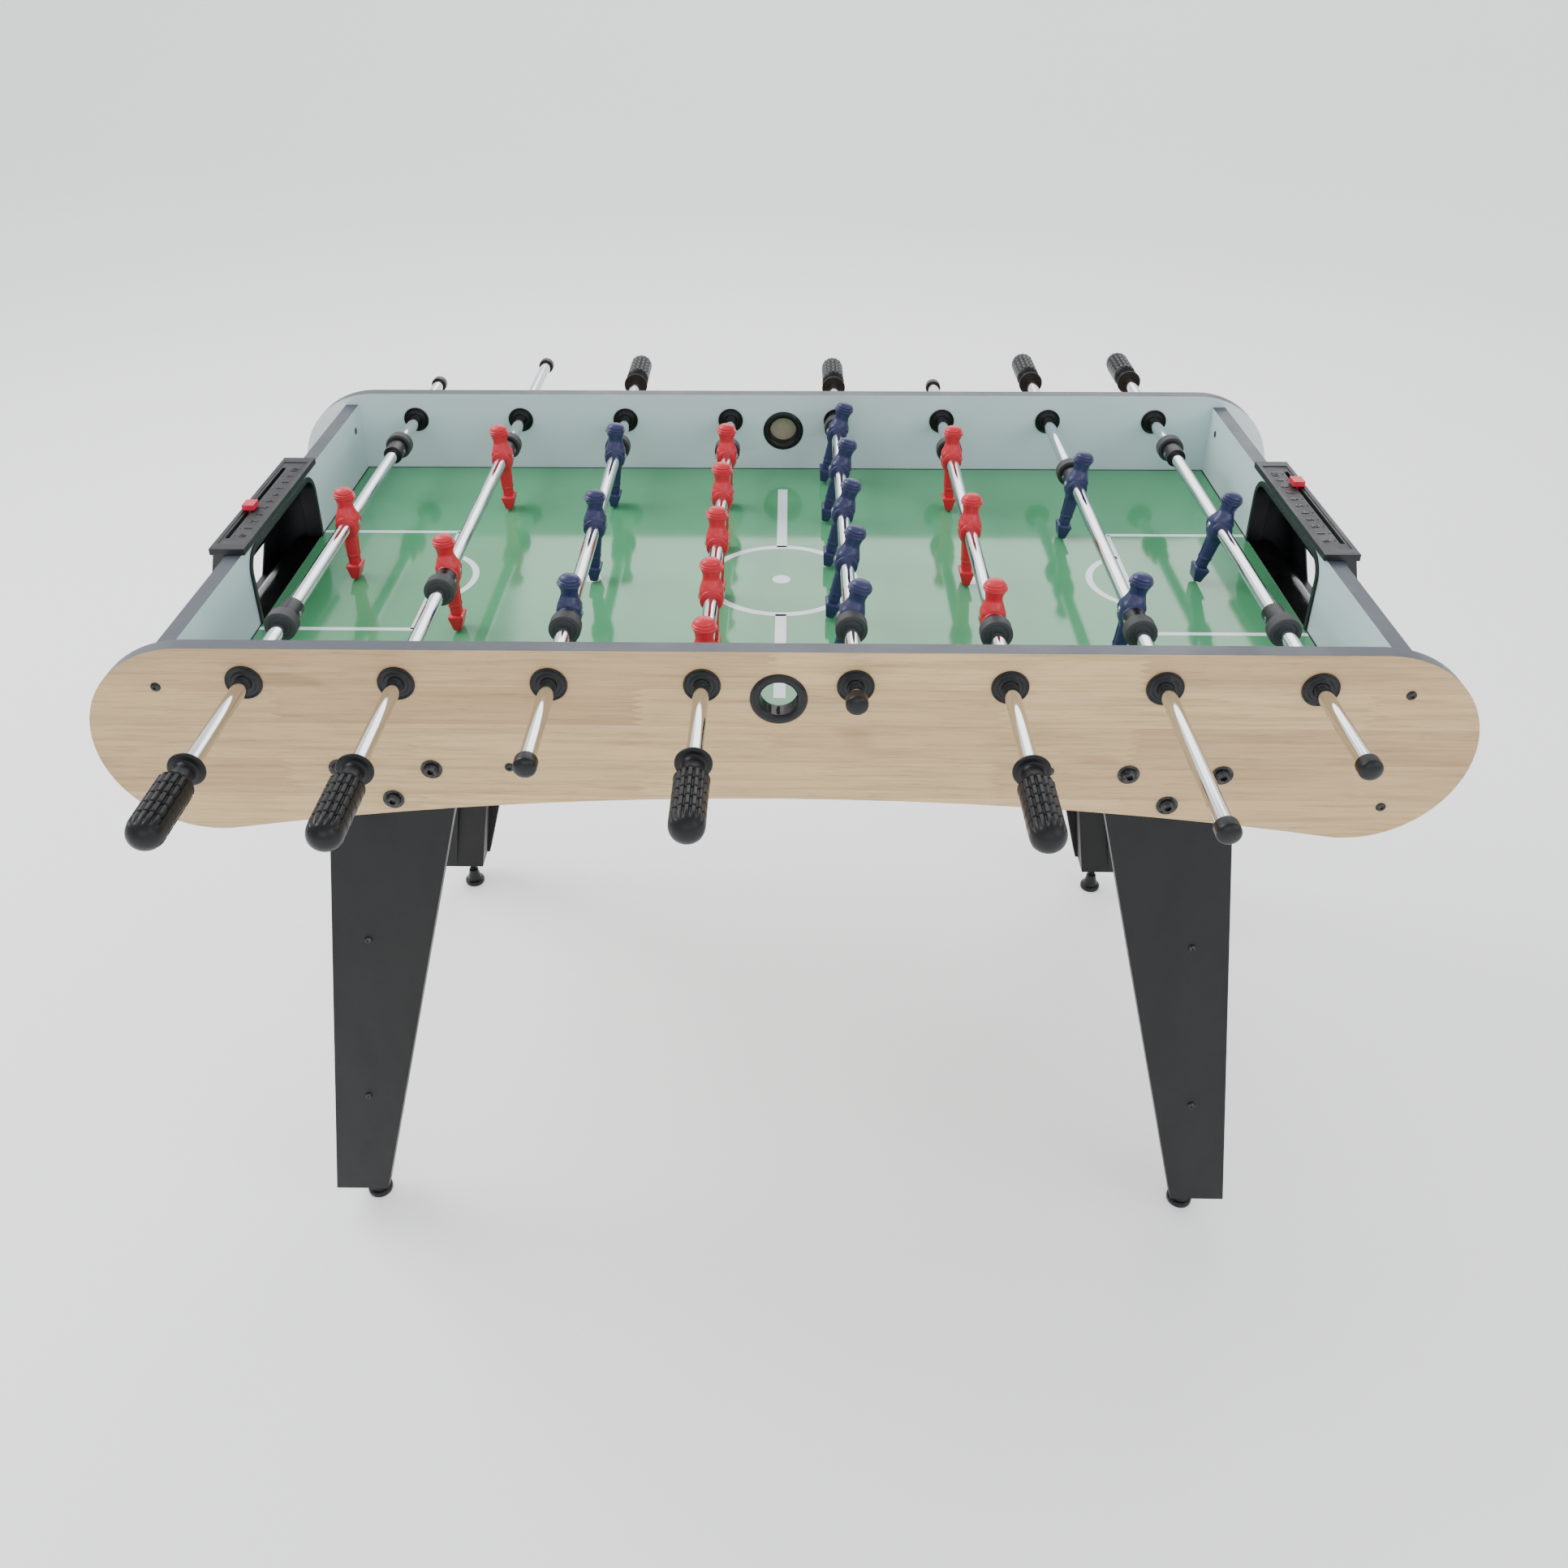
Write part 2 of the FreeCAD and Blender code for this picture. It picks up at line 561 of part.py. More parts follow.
def figure(name, face):
    """One player at the origin, looking along face on X, its rod along Y."""
    half = "(figureDepth / 2)"
    barrel = cylinder(name + "Barrel", ("0", f"-{half}", "0"), "figureBarrel", "figureDepth", ACROSS)
    chest = wedge(name + "Chest", ("0", "0", "0"),
                  ("-figureBarrel * 0.8", "figureBarrel * 0.8", f"-{half}", half),
                  ("-figureBarrel * 0.5", "figureBarrel * 0.5", f"-{half} * 0.7", f"{half} * 0.7"),
                  "figureHead - 2 * headRadius + 2")
    head = ellipsoid(name + "Head", ("0", "0", "figureHead - headRadius * 1.1"),
                     "headRadius * 1.1", "headRadius", "headRadius * 0.9")
    brim = cylinder(name + "Brim", (f"{face} * headRadius * 0.35", "0", "figureHead - headRadius"),
                    "headRadius * 0.75", "2")
    legs = wedge(name + "Legs", ("0", "0", "-figureFoot + footHeight"),
                 ("-6", "6", "-legWidth / 2", "legWidth / 2"),
                 ("-figureBarrel * 0.75", "figureBarrel * 0.75", "-legWidth * 0.55", "legWidth * 0.55"),
                 "figureFoot - footHeight")
    foot = wedge(name + "Foot", ("0", "0", "-figureFoot"),
                 ("-4", "4", "-footWidth / 2 + 2", "footWidth / 2 - 2"),
                 ("-footLength / 2", "footLength / 2", "-footWidth / 2", "footWidth / 2"),
                 "footHeight")
    solid = fuse(name + "Solid", [barrel, chest, head, brim, legs, foot])
    bore = cylinder(name + "Bore", ("0", f"-{half}", "0"), "rodRadius + pressFit",
                    "figureDepth", ACROSS)
    hole = cylinder(name + "BoltHole", ("-figureBarrel - 2", "0", "0"), "figureBolt + boltGap",
                    "2 * (figureBarrel + 2)", ALONG)
    return cut(name, solid, [bore, hole])


def figureBolt(name, face):
    """The bolt of a figure, with its round head on the side that the figure looks away from."""
    shank = cylinder(name + "Shank", ("-figureBarrel", "0", "0"), "figureBolt",
                     "2 * figureBarrel", ALONG)
    back = "figureBarrel" if face < 0 else "-figureBarrel - 1.5"
    head = cylinder(name + "Head", (back, "0", "0"), "figureBoltHead", "1.5", ALONG)
    return fuse(name, [shank, head])


def rodMen(rod):
    name = f"Rod{rod['number']}Men"
    turn = Rotation(Vector(0, 1, 0), rod["lean"])
    team = teams[rod["side"]]
    copies = []
    for share in rod["figures"]:
        for piece in team:
            at = (rodX(rod), figureY(rod, share), rodHeight)
            copies.append(copy(name + "Copy", piece, at, turn))
    return compound(name, copies)


def rodBumpers(rod):
    name = f"Rod{rod['number']}Bumpers"
    rings = []
    for end in (-1, 1):
        start = f"{rod['stand']} + {end} * {ringPlace(rod)} - bumperThickness / 2"
        ring = cylinder(name + "Ring", (rodX(rod), start, rodHeight),
                        "bumperRadius", "bumperThickness", ACROSS)
        bore = cylinder(name + "Bore", (rodX(rod), start, rodHeight),
                        "rodRadius + runningFit", "bumperThickness", ACROSS)
        rings.append(cut(name + "Cut", ring, [bore]))
    return compound(name, rings)


def rodFittings(rod):
    """The closed cap on the rod's plain end, and the stop collars with their set screws."""
    name = f"Rod{rod['number']}Fittings"
    side = rod["side"]
    far = f"({rod['stand']} - {side} * {capPlace(rod)})"
    low = far if side > 0 else f"({far} - capLength)"
    cap = cylinder(name + "Cap", (rodX(rod), low, rodHeight), "capRadius", "capLength", ACROSS)
    bore = f"({low} + capWall)" if side > 0 else low
    hole = cylinder(name + "CapBore", (rodX(rod), bore, rodHeight), "rodRadius + pressFit",
                    "capLength - capWall", ACROSS)
    pieces = [cut(name + "CapCut", cap, [hole])]
    for end in (-1, 1):
        if rod["collar"]:
            pieces = pieces + stopCollar(name, rod, end)
    return compound(name, pieces)


def stopCollar(name, rod, end):
    length = rod["collar"]
    inset = f"(bumperThickness / 2 + bumperGap + {length} / 2)"
    middle = f"({rod['stand']} + {end} * ({ringPlace(rod)} - {inset}))"
    collar = cylinder(name + "Collar", (rodX(rod), f"{middle} - {length} / 2", rodHeight),
                      "collarRadius", str(length), ACROSS)
    bore = cylinder(name + "CollarBore", (rodX(rod), f"{middle} - {length} / 2", rodHeight),
                    "rodRadius + pressFit", str(length), ACROSS)
    start = "(rodRadius + pressFit)"
    across = -rod["side"]
    x = f"{rodX(rod)} + {start}" if across > 0 else f"{rodX(rod)} - collarRadius"
    drilled = cylinder(name + "ScrewHole", (x, middle, rodHeight), "collarScrewRadius + boltGap",
                       f"collarRadius - {start}", ALONG)
    screw = cylinder(name + "Screw", (x, middle, rodHeight), "collarScrewRadius",
                     f"collarRadius - {start}", ALONG)
    return [cut(name + "CollarCut", collar, [bore, drilled]), screw]


def rodHandle(rod):
    """A handle: flange, neck, body and domed end, on the rod's end."""
    name = f"Rod{rod['number']}Handle"
    side = rod["side"]

    def ring(part, near, length, radius):
        low = f"{rod['stand']} + {side} * ({gripPlace(rod)} + {near})"
        low = low if side > 0 else f"{low} - ({length})"
        return cylinder(name + part, (rodX(rod), low, rodHeight), radius, length, ACROSS)

    body = "handleLength - handleFlangeThickness - handleNeckLength - handleTip"
    flange = ring("Flange", "0", "handleFlangeThickness", "handleFlange")
    neck = ring("Neck", "handleFlangeThickness", "handleNeckLength", "handleNeck")
    grip = ring("Grip", "handleFlangeThickness + handleNeckLength", body, "handleBody")
    middle = f"{rod['stand']} + {side} * ({gripPlace(rod)} + handleLength - handleTip)"
    dome = ellipsoid(name + "Dome", (rodX(rod), middle, rodHeight),
                     "handleBody", "handleBody", "handleTip")
    bore = ring("Bore", "0", "handleBore", "rodRadius + pressFit")
    return cut(name, fuse(name + "Solid", [flange, neck, grip, dome]), [bore])


# ---------------------------------------------------------------- bearings, inlets, fasteners

def bearing(rod, side):
    name = f"Bearing{rod['number']}"
    wall = "bearingFlangeThickness"
    outer = f"-{outerFace} - {wall}" if side < 0 else outerFace
    inner = f"-{innerFace}" if side < 0 else f"{innerFace} - {wall}"
    start = f"-{outerFace}" if side < 0 else innerFace
    rim = cylinder(name + "Outer", (rodX(rod), outer, rodHeight), "bearingFlange", wall, ACROSS)
    nut = cylinder(name + "Inner", (rodX(rod), inner, rodHeight), "bearingFlange - 1", wall, ACROSS)
    barrel = cylinder(name + "Barrel", (rodX(rod), start, rodHeight), "bearingBarrel",
                      "boardThickness", ACROSS)
    bore = cylinder(name + "Bore", (rodX(rod), f"{start} - {wall}", rodHeight),
                    "rodRadius + runningFit", f"boardThickness + 2 * {wall}", ACROSS)
    return cut(name, fuse(name + "Solid", [rim, nut, barrel]), [bore])


def ballInlet(name, side):
    """Ring through the near panel, or round the blind pocket of the far one."""
    wall = "inletFlangeThickness"
    z = f"{rodHeight} + inletRise"
    depth = "boardThickness" if side < 0 else "inletBlindDepth"
    start = f"-{outerFace}" if side < 0 else innerFace
    inner = f"-{innerFace}" if side < 0 else f"{innerFace} - {wall}"
    pieces = [cylinder(name + "Barrel", ("0", start, z), "inletBarrel", depth, ACROSS),
              cylinder(name + "Inner", ("0", inner, z), "inletFlange", wall, ACROSS)]
    if side < 0:
        pieces.append(cylinder(name + "Outer", ("0", f"{start} - {wall}", z),
                               "inletFlange", wall, ACROSS))
    bore = cylinder(name + "Bore", ("0", f"{start} - {wall}", z), "inletBore",
                    f"{depth} + 2 * {wall}", ACROSS)
    return cut(name, fuse(name + "Solid", pieces), [bore])


def legBolt(name, x, drop, side):
    """A leg bolt on its washer, with the threaded insert that it turns into."""
    z = f"topHeight - {drop}"

    def disc(part, out, length, radius):
        near = f"-({outerFace} + {out})" if side < 0 else f"({outerFace} + {out}) - ({length})"
        return cylinder(name + part, (x, near, z), radius, length, ACROSS)

    washer = disc("Washer", "washerThickness", "washerThickness", "legBoltWasher")
    head = disc("Head", "washerThickness + legBoltHeadHeight", "legBoltHeadHeight", "legBoltHead")
    shank = disc("Shank", "washerThickness", "washerThickness + 2 * boardThickness", "legBoltShank")
    hole = disc("Hole", "washerThickness", "washerThickness", "legBoltShank")
    insert = disc("Insert", "-boardThickness", "boardThickness", "insertRadius")
    thread = disc("Thread", "-boardThickness", "boardThickness", "legBoltShank")
    return [fuse(name + "Bolt", [head, shank]), cut(name + "WasherRing", washer, [hole]),
            cut(name + "InsertRing", insert, [thread])]


def woodScrew(name, x, drop, side, face, length):
    z = f"topHeight - {drop}"
    if side < 0:
        shank = cylinder(name, (x, f"-{face}", z), "screwShank", length, ACROSS)
        head = cylinder(name + "Head", (x, f"-{face} - screwHeadHeight", z), "screwHead",
                        "screwHeadHeight", ACROSS)
    else:
        shank = cylinder(name, (x, f"{face} - ({length})", z), "screwShank", length, ACROSS)
        head = cylinder(name + "Head", (x, face, z), "screwHead", "screwHeadHeight", ACROSS)
    return fuse(name + "Whole", [shank, head])


def fasteners():
    pieces = []
    for side in (-1, 1):
        for end in (-1, 1):
            for x, drop in legBolts:
                pieces = pieces + legBolt("LegBolt", legBoltX(end, x), drop, side)
            for x, drop in screwPlaces(end):
                pieces.append(woodScrew("PanelScrew", x, drop, side, outerFace, "screwLength"))
            for inset, drop in legScrews:
                x = f"{end} * ({legScrewX(inset, drop)})"
                pieces.append(woodScrew("LegScrew", x, drop, side, innerFace, "legDepthFoot - 8"))
    return compound("Fasteners", pieces)


# ---------------------------------------------------------------- assembly

node("front_panel", sidePanel("FrontPanel", -1))
node("back_panel", sidePanel("BackPanel", 1))
rightEnd = node("right_end_panel", endPanel("EndPanel"))
node("left_end_panel", mirror("LeftEndPanel", rightEnd, Vector(1, 0, 0)))
node("playfield", playfield())

frontRight = node("front_right_leg", leg("Leg"))
frontLeft = node("front_left_leg", mirror("FrontLeftLeg", frontRight, Vector(1, 0, 0)))
centre = ("0", "0", "0")
node("back_left_leg", compound("BackLeftLeg", [copy("BackLeft", frontRight, centre, HALF_TURN)]))
node("back_right_leg", compound("BackRightLeg", [copy("BackRight", frontLeft, centre, HALF_TURN)]))
for side, row in ((-1, "front"), (1, "back")):
    for end, hand in ((-1, "left"), (1, "right")):
        node(f"{row}_{hand}_foot", levellingFoot(f"Foot{row}{hand}", end, side))

rightGoal = node("right_goal", goal("Goal"))
node("left_goal", mirror("LeftGoal", rightGoal, Vector(1, 0, 0)))
node("left_score_marker", scoreMarker("LeftMarker", -1))
node("right_score_marker", scoreMarker("RightMarker", 1))

# The near team looks along +X, the far team along -X.
teams = {-1: [figure("NearFigure", 1), figureBolt("NearBolt", 1)],
         1: [figure("FarFigure", -1), figureBolt("FarBolt", -1)]}
for rod in rods:
    number = rod["number"]
    node(f"rod_{number}_tube", rodTube(rod))
    node(f"rod_{number}_men", rodMen(rod))
    node(f"rod_{number}_bumpers", rodBumpers(rod))
    node(f"rod_{number}_fittings", rodFittings(rod))
    node(f"rod_{number}_handle", rodHandle(rod))

node("rod_bearings", compound("Bearings", [bearing(rod, side) for rod in rods for side in (-1, 1)]))
node("ball_inlets", compound("Inlets", [ballInlet("NearInlet", -1), ballInlet("FarInlet", 1)]))
node("fasteners", fasteners())

doc.recompute()
for item in doc.Objects:
    assert not {"Invalid", "Error"} & set(item.State), f"{item.Label} {item.State}"
for item in nodes:
    shape = item.Shape
    assert not shape.isNull() and shape.isValid(), f"{item.Label} has no valid shape"

os.makedirs("parts", exist_ok=True)
for item in nodes:
    item.Shape.exportStep(f"parts/{item.Label}.step")
print(len(nodes), "nodes,", sum(len(item.Shape.Solids) for item in nodes), "solids")
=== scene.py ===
import json
import math
import bmesh
import bpy
import numpy as np
from mathutils import Matrix, Vector


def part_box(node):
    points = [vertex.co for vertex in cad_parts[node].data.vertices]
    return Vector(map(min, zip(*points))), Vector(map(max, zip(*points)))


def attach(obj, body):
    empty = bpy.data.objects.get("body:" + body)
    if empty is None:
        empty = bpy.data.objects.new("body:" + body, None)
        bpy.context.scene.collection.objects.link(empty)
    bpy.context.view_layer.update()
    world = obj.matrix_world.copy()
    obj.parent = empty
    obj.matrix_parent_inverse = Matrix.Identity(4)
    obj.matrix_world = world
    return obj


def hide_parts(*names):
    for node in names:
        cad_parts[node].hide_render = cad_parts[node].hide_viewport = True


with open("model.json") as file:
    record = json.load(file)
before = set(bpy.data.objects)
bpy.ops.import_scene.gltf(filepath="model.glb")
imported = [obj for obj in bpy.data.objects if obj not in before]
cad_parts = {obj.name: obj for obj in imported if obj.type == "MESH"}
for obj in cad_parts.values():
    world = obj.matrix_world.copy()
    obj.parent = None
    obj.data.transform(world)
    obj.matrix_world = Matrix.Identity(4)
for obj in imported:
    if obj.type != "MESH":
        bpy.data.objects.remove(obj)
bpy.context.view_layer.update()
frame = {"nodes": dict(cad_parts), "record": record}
millimetre = 0.001


# Quads over a grid of points; closed joins the last column to the first.
def strip(grid, closed):
    rows, columns = grid.shape[:2]
    index = np.arange(rows * columns).reshape(rows, columns)
    if closed:
        index = np.hstack([index, index[:, :1]])
    faces = np.stack([index[:-1, :-1], index[:-1, 1:], index[1:, 1:], index[1:, :-1]], axis=-1)
    return grid.reshape(-1, 3), faces.reshape(-1, 4)


# Turned surface: radius r at height a, point = centre + a along the axis + r (cos t, sin t).
def lathe(profile, centre, segments=48, axis=1, radiusAt=None):
    along, radius = np.array(profile, float).T
    angle = np.linspace(0, 2 * np.pi, segments, endpoint=False)
    reach = radius[:, None] * np.ones(segments)
    if radiusAt is not None:
        reach = radiusAt(along[:, None], radius[:, None], angle[None, :])
    grid = np.zeros((len(along), segments, 3))
    first, second = [i for i in range(3) if i != axis]
    grid[..., axis] = along[:, None]
    grid[..., first] = reach * np.cos(angle)
    grid[..., second] = reach * np.sin(angle)
    return strip(grid + np.array(centre, float), True)


# Rounds each inner corner of a profile with a curve that starts and ends reach away from it.
def soften(points, reach, steps=5):
    points = [np.array(point, float) for point in points]
    result = [points[0]]
    for before, corner, after in zip(points, points[1:], points[2:]):
        back = before - corner
        on = after - corner
        start = corner + back * min(0.5, reach / max(np.linalg.norm(back), 1e-9))
        end = corner + on * min(0.5, reach / max(np.linalg.norm(on), 1e-9))
        for t in np.linspace(0, 1, steps):
            result.append((1 - t) ** 2 * start + 2 * t * (1 - t) * corner + t ** 2 * end)
    result.append(points[-1])
    return result


# A box as three rings of points, closed at both ends.
def block(low, high):
    low, high = np.array(low, float), np.array(high, float)
    corners = np.array([[0, 0], [1, 0], [1, 1], [0, 1]])
    grid = np.zeros((4, 4, 3))
    grid[..., :2] = low[:2] + corners * (high - low)[:2]
    grid[:2, :, 2] = low[2]
    grid[2:, :, 2] = high[2]
    middle = (low[:2] + high[:2]) / 2
    grid[0, :, :2] = middle
    grid[3, :, :2] = middle
    return strip(grid, True)


# One object from several surfaces given in millimetres.
def piece(name, surfaces, material, body, sharp=40, bevel=0, replaced=()):
    points = []
    faces = []
    count = 0
    for vertices, quads in surfaces:
        points.append(vertices)
        faces.append(quads + count)
        count += len(vertices)
    mesh = bpy.data.meshes.new(name)
    mesh.from_pydata((np.concatenate(points) * millimetre).tolist(), [],
                     np.concatenate(faces).tolist())
    settle(mesh)
    return publish(name, mesh, material, body, sharp, bevel, replaced)


# Joins seams and poles and turns the faces outwards.
def settle(mesh):
    work = bmesh.new()
    work.from_mesh(mesh)
    bmesh.ops.remove_doubles(work, verts=work.verts, dist=2e-6)
    bmesh.ops.dissolve_degenerate(work, edges=work.edges, dist=1e-6)
    bmesh.ops.recalc_face_normals(work, faces=work.faces)
    work.to_mesh(mesh)
    work.free()


def publish(name, mesh, material, body, sharp, bevel, replaced):
    mesh.polygons.foreach_set("use_smooth", [True] * len(mesh.polygons))
    mesh.set_sharp_from_angle(angle=math.radians(sharp))
    mesh.materials.clear()
    mesh.materials.append(material)
    item = bpy.data.objects.new(name, mesh)
    bpy.context.scene.collection.objects.link(item)
    if bevel:
        edge = item.modifiers.new("edges", "BEVEL")
        edge.width = bevel * millimetre
        edge.segments = 3
        edge.limit_method = "ANGLE"
        edge.angle_limit = math.radians(35)
        edge.harden_normals = True
    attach(item, body)
    if replaced:
        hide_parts(*replaced)
    return item


# The same solid as a frame node with its edges eased.
def rounded(node, material, bevel=0.8, sharp=35):
    source = frame["nodes"][node]
    mesh = source.data.copy()
    settle(mesh)
    work = bmesh.new()
    work.from_mesh(mesh)
    bmesh.ops.dissolve_limit(work, angle_limit=math.radians(0.5), verts=work.verts,
                             edges=work.edges)
    work.to_mesh(mesh)
    work.free()
    return publish(node + "_eased", mesh, material, bodyOf[node], sharp, bevel, (node,))


bodyOf = {}
for bodyName, members in frame["record"]["behaviour"]["bodies"].items():
    for member in members:
        bodyOf[member] = bodyName


# Centre of a frame node's box, in millimetres.
def middle(node):
    low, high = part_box(node)
    return (np.array(low) + np.array(high)) / 2 / millimetre


# sRGB hex to linear RGBA.
def linear(hexColour):
    channels = [int(hexColour[i:i + 2], 16) / 255 for i in (0, 2, 4)]
    curve = [c / 12.92 if c <= 0.04045 else ((c + 0.055) / 1.055) ** 2.4 for c in channels]
    return (*curve, 1)


# Inputs that add() fills in this order; a noise's scale is 1000 over its blobs' size in millimetres.
inputOrder = {
    "TexCoord": (), "SeparateXYZ": ("Vector",), "CombineXYZ": ("X", "Y"), "Math": (0, 1),
    "VectorMath": (0, 1), "Mapping": ("Vector", "Scale", "Rotation"), "Mix": (0, 6, 7),
    "TexNoise": ("Vector", "Scale", "Detail", "Roughness"),
    "MapRange": ("Value", "From Min", "From Max", "To Min", "To Max"),
    "Bump": ("Height", "Distance", "Strength", "Normal"),
    "TexBrick": ("Vector", "Color1", "Color2", "Mortar", "Scale", "Mortar Size", "Brick Width",
                 "Row Height")}


# Sets a node's inputs, by name or number, to constants or links.
def feed(tree, node, inputs):
    for name, value in inputs.items():
        socket = node.inputs[name]
        if isinstance(value, bpy.types.NodeSocket):
            tree.links.new(value, socket)
        else:
            socket.default_value = value


# Adds a node with its settings and links and returns one output; a Mix blends colours.
def add(tree, kind, *values, output=0, **settings):
    node = tree.nodes.new("ShaderNode" + kind)
    if kind == "Mix":
        node.data_type = "RGBA"
        output = 2
    for name, value in settings.items():
        setattr(node, name, value)
    feed(tree, node, dict(zip(inputOrder[kind], values)))
    return node.outputs[output]


def startMaterial(name):
    material = bpy.data.materials.new(name)
    material.use_nodes = True
    tree = material.node_tree
    return material, tree, tree.nodes["Principled BSDF"], add(tree, "TexCoord", output="Object")


# Injection-moulded plastic or rubber: fine texture, patchy gloss and paler rubbed spots.
def moulded(name, hexColour, roughness, grain, depth, wear="808080", worn=0.10, specular=0.5):
    material, tree, shader, where = startMaterial(name)
    plain, pale = linear(hexColour), linear(wear)
    patches = add(tree, "TexNoise", where, 1000 / 35, 4, 0.55)
    texture = add(tree, "TexNoise", where, 1000 / grain, 2, 0.55)
    spots = add(tree, "TexNoise", where, 1000 / 9, 6, 0.7)
    rubbed = add(tree, "MapRange", spots, 0.62, 0.8, 0, worn)
    faded = add(tree, "MapRange", patches, 0.3, 0.7, 0, worn * 1.6)
    colour = add(tree, "Mix", faded, plain, add(tree, "Mix", 0.25, plain, pale))
    feed(tree, shader, {
        "Base Color": add(tree, "Mix", rubbed, colour, pale),
        "Roughness": add(tree, "MapRange", patches, 0.3, 0.7, roughness - 0.07, roughness + 0.09),
        "Normal": add(tree, "Bump", texture, depth * millimetre, 1.0),
        "Specular IOR Level": specular})
    return material


woodLook = {"strip": 43, "block": 360, "joint": 6.5, "tooth": 3.5, "seam": 0.3, "light": "DABB86",
            "dark": "B8966A", "figure": "C9AE86", "grain": "8C6F4A", "pore": "7A6040",
            "knot": "8A6A44", "glue": "6E5A40"}


# Glued strips of oak: rows of blocks that differ in tone, zigzag finger joints, long grain.
def oakColour(tree, where):
    along = add(tree, "SeparateXYZ", where, output="X")
    up = add(tree, "SeparateXYZ", where, output="Z")
    teeth = add(tree, "Math", up, woodLook["tooth"] * millimetre, operation="PINGPONG")
    zigzag = add(tree, "Math", teeth, woodLook["joint"] / woodLook["tooth"] * 2, operation="MULTIPLY")
    shifted = add(tree, "Math", along, zigzag, operation="ADD")
    flat = add(tree, "CombineXYZ", shifted, add(tree, "Math", up, 0.004, operation="ADD"))
    tone = add(tree, "TexBrick", flat, (0, 0, 0, 1), (1, 1, 1, 1), (0.5, 0.5, 0.5, 1), 1.0,
               woodLook["seam"] * millimetre, woodLook["block"] * millimetre,
               woodLook["strip"] * millimetre, output="Color", offset=0.37, squash=1.0)
    seam = tone.node.outputs["Fac"]
    drift = add(tree, "Math", tone, 5.0, operation="MULTIPLY")
    place = add(tree, "VectorMath", where, drift, operation="ADD")
    streaked = add(tree, "Mapping", place, (0.035, 1, 1))
    longGrain = add(tree, "TexNoise", streaked, 1000 / 5.5, 8, 0.62)
    pores = add(tree, "TexNoise", add(tree, "Mapping", place, (0.04, 1, 1)), 1000 / 1.7, 5, 0.72)
    figure = add(tree, "TexNoise", add(tree, "Mapping", place, (0.14, 1, 1)), 1000 / 26, 5, 0.6)
    knots = add(tree, "TexNoise", add(tree, "Mapping", place, (0.45, 1, 1)), 1000 / 75, 1, 0.55)
    colour = add(tree, "Mix", tone, linear(woodLook["light"]), linear(woodLook["dark"]))
    # Each layer: what drives it, the range that shows, its strongest cover, its colour.
    for driver, low, high, cover, layer in ((figure, 0.3, 0.7, 0.55, "figure"),
                                            (longGrain, 0.45, 0.75, 0.60, "grain"),
                                            (pores, 0.54, 0.72, 0.55, "pore"),
                                            (knots, 0.72, 0.78, 0.45, "knot")):
        amount = add(tree, "MapRange", driver, low, high, 0, cover)
        colour = add(tree, "Mix", amount, colour, linear(woodLook[layer]))
    glued = add(tree, "Math", seam, 0.3, operation="MULTIPLY")
    return add(tree, "Mix", glued, colour, linear(woodLook["glue"])), longGrain, pores


# Satin oak on the outer face, cool pale laminate inside, anthracite edging on the narrow edges.
def cabinetBoard(name, axis, sign):
    material, tree, shader, where = startMaterial(name)
    normals = add(tree, "TexCoord", output="Normal")
    across = add(tree, "SeparateXYZ", normals, output=axis)
    facing = add(tree, "Math", across, sign, operation="MULTIPLY")
    isOuter = add(tree, "Math", facing, 0.7, operation="GREATER_THAN")
    isInner = add(tree, "Math", facing, -0.7, operation="LESS_THAN")
    turned = where
    if axis == "X":
        turned = add(tree, "Mapping", where, (1, 1, 1), (0, 0, math.pi / 2))
    oak, grain, pores = oakColour(tree, turned)
    haze = add(tree, "TexNoise", where, 1000 / 120, 3, 0.55)
    speckle = add(tree, "TexNoise", where, 1000 / 1.6, 2, 0.55)
    clouded = add(tree, "MapRange", haze, 0.3, 0.7, 0, 0.25)
    pale = add(tree, "Mix", clouded, linear("D5E6EA"), linear("C2D6DC"))
    speckled = add(tree, "MapRange", speckle, 0.3, 0.7, 0, 0.3)
    edging = add(tree, "Mix", speckled, linear("3F454E"), linear("4C535D"))
    colour = add(tree, "Mix", isOuter, add(tree, "Mix", isInner, edging, pale), oak)
    raised = add(tree, "Math", grain, pores, operation="ADD")
    relief = add(tree, "Math", isOuter, raised, operation="MULTIPLY")
    sunk = add(tree, "Math", 1.0, relief, operation="SUBTRACT")
    grained = add(tree, "Bump", sunk, 0.05 * millimetre, 0.6)
    touched = add(tree, "TexNoise", where, 1000 / 60, 5, 0.55)
    handled = add(tree, "MapRange", touched, 0.3, 0.7, -0.05, 0.08)
    outerGain = add(tree, "Math", isOuter, 0.10, operation="MULTIPLY")
    satin = add(tree, "Math", 0.40, outerGain, operation="ADD")
    feed(tree, shader, {
        "Base Color": colour,
        "Roughness": add(tree, "Math", satin, handled, operation="ADD"),
        "Normal": add(tree, "Bump", speckle, 0.012 * millimetre, 0.8, grained)})
    return material


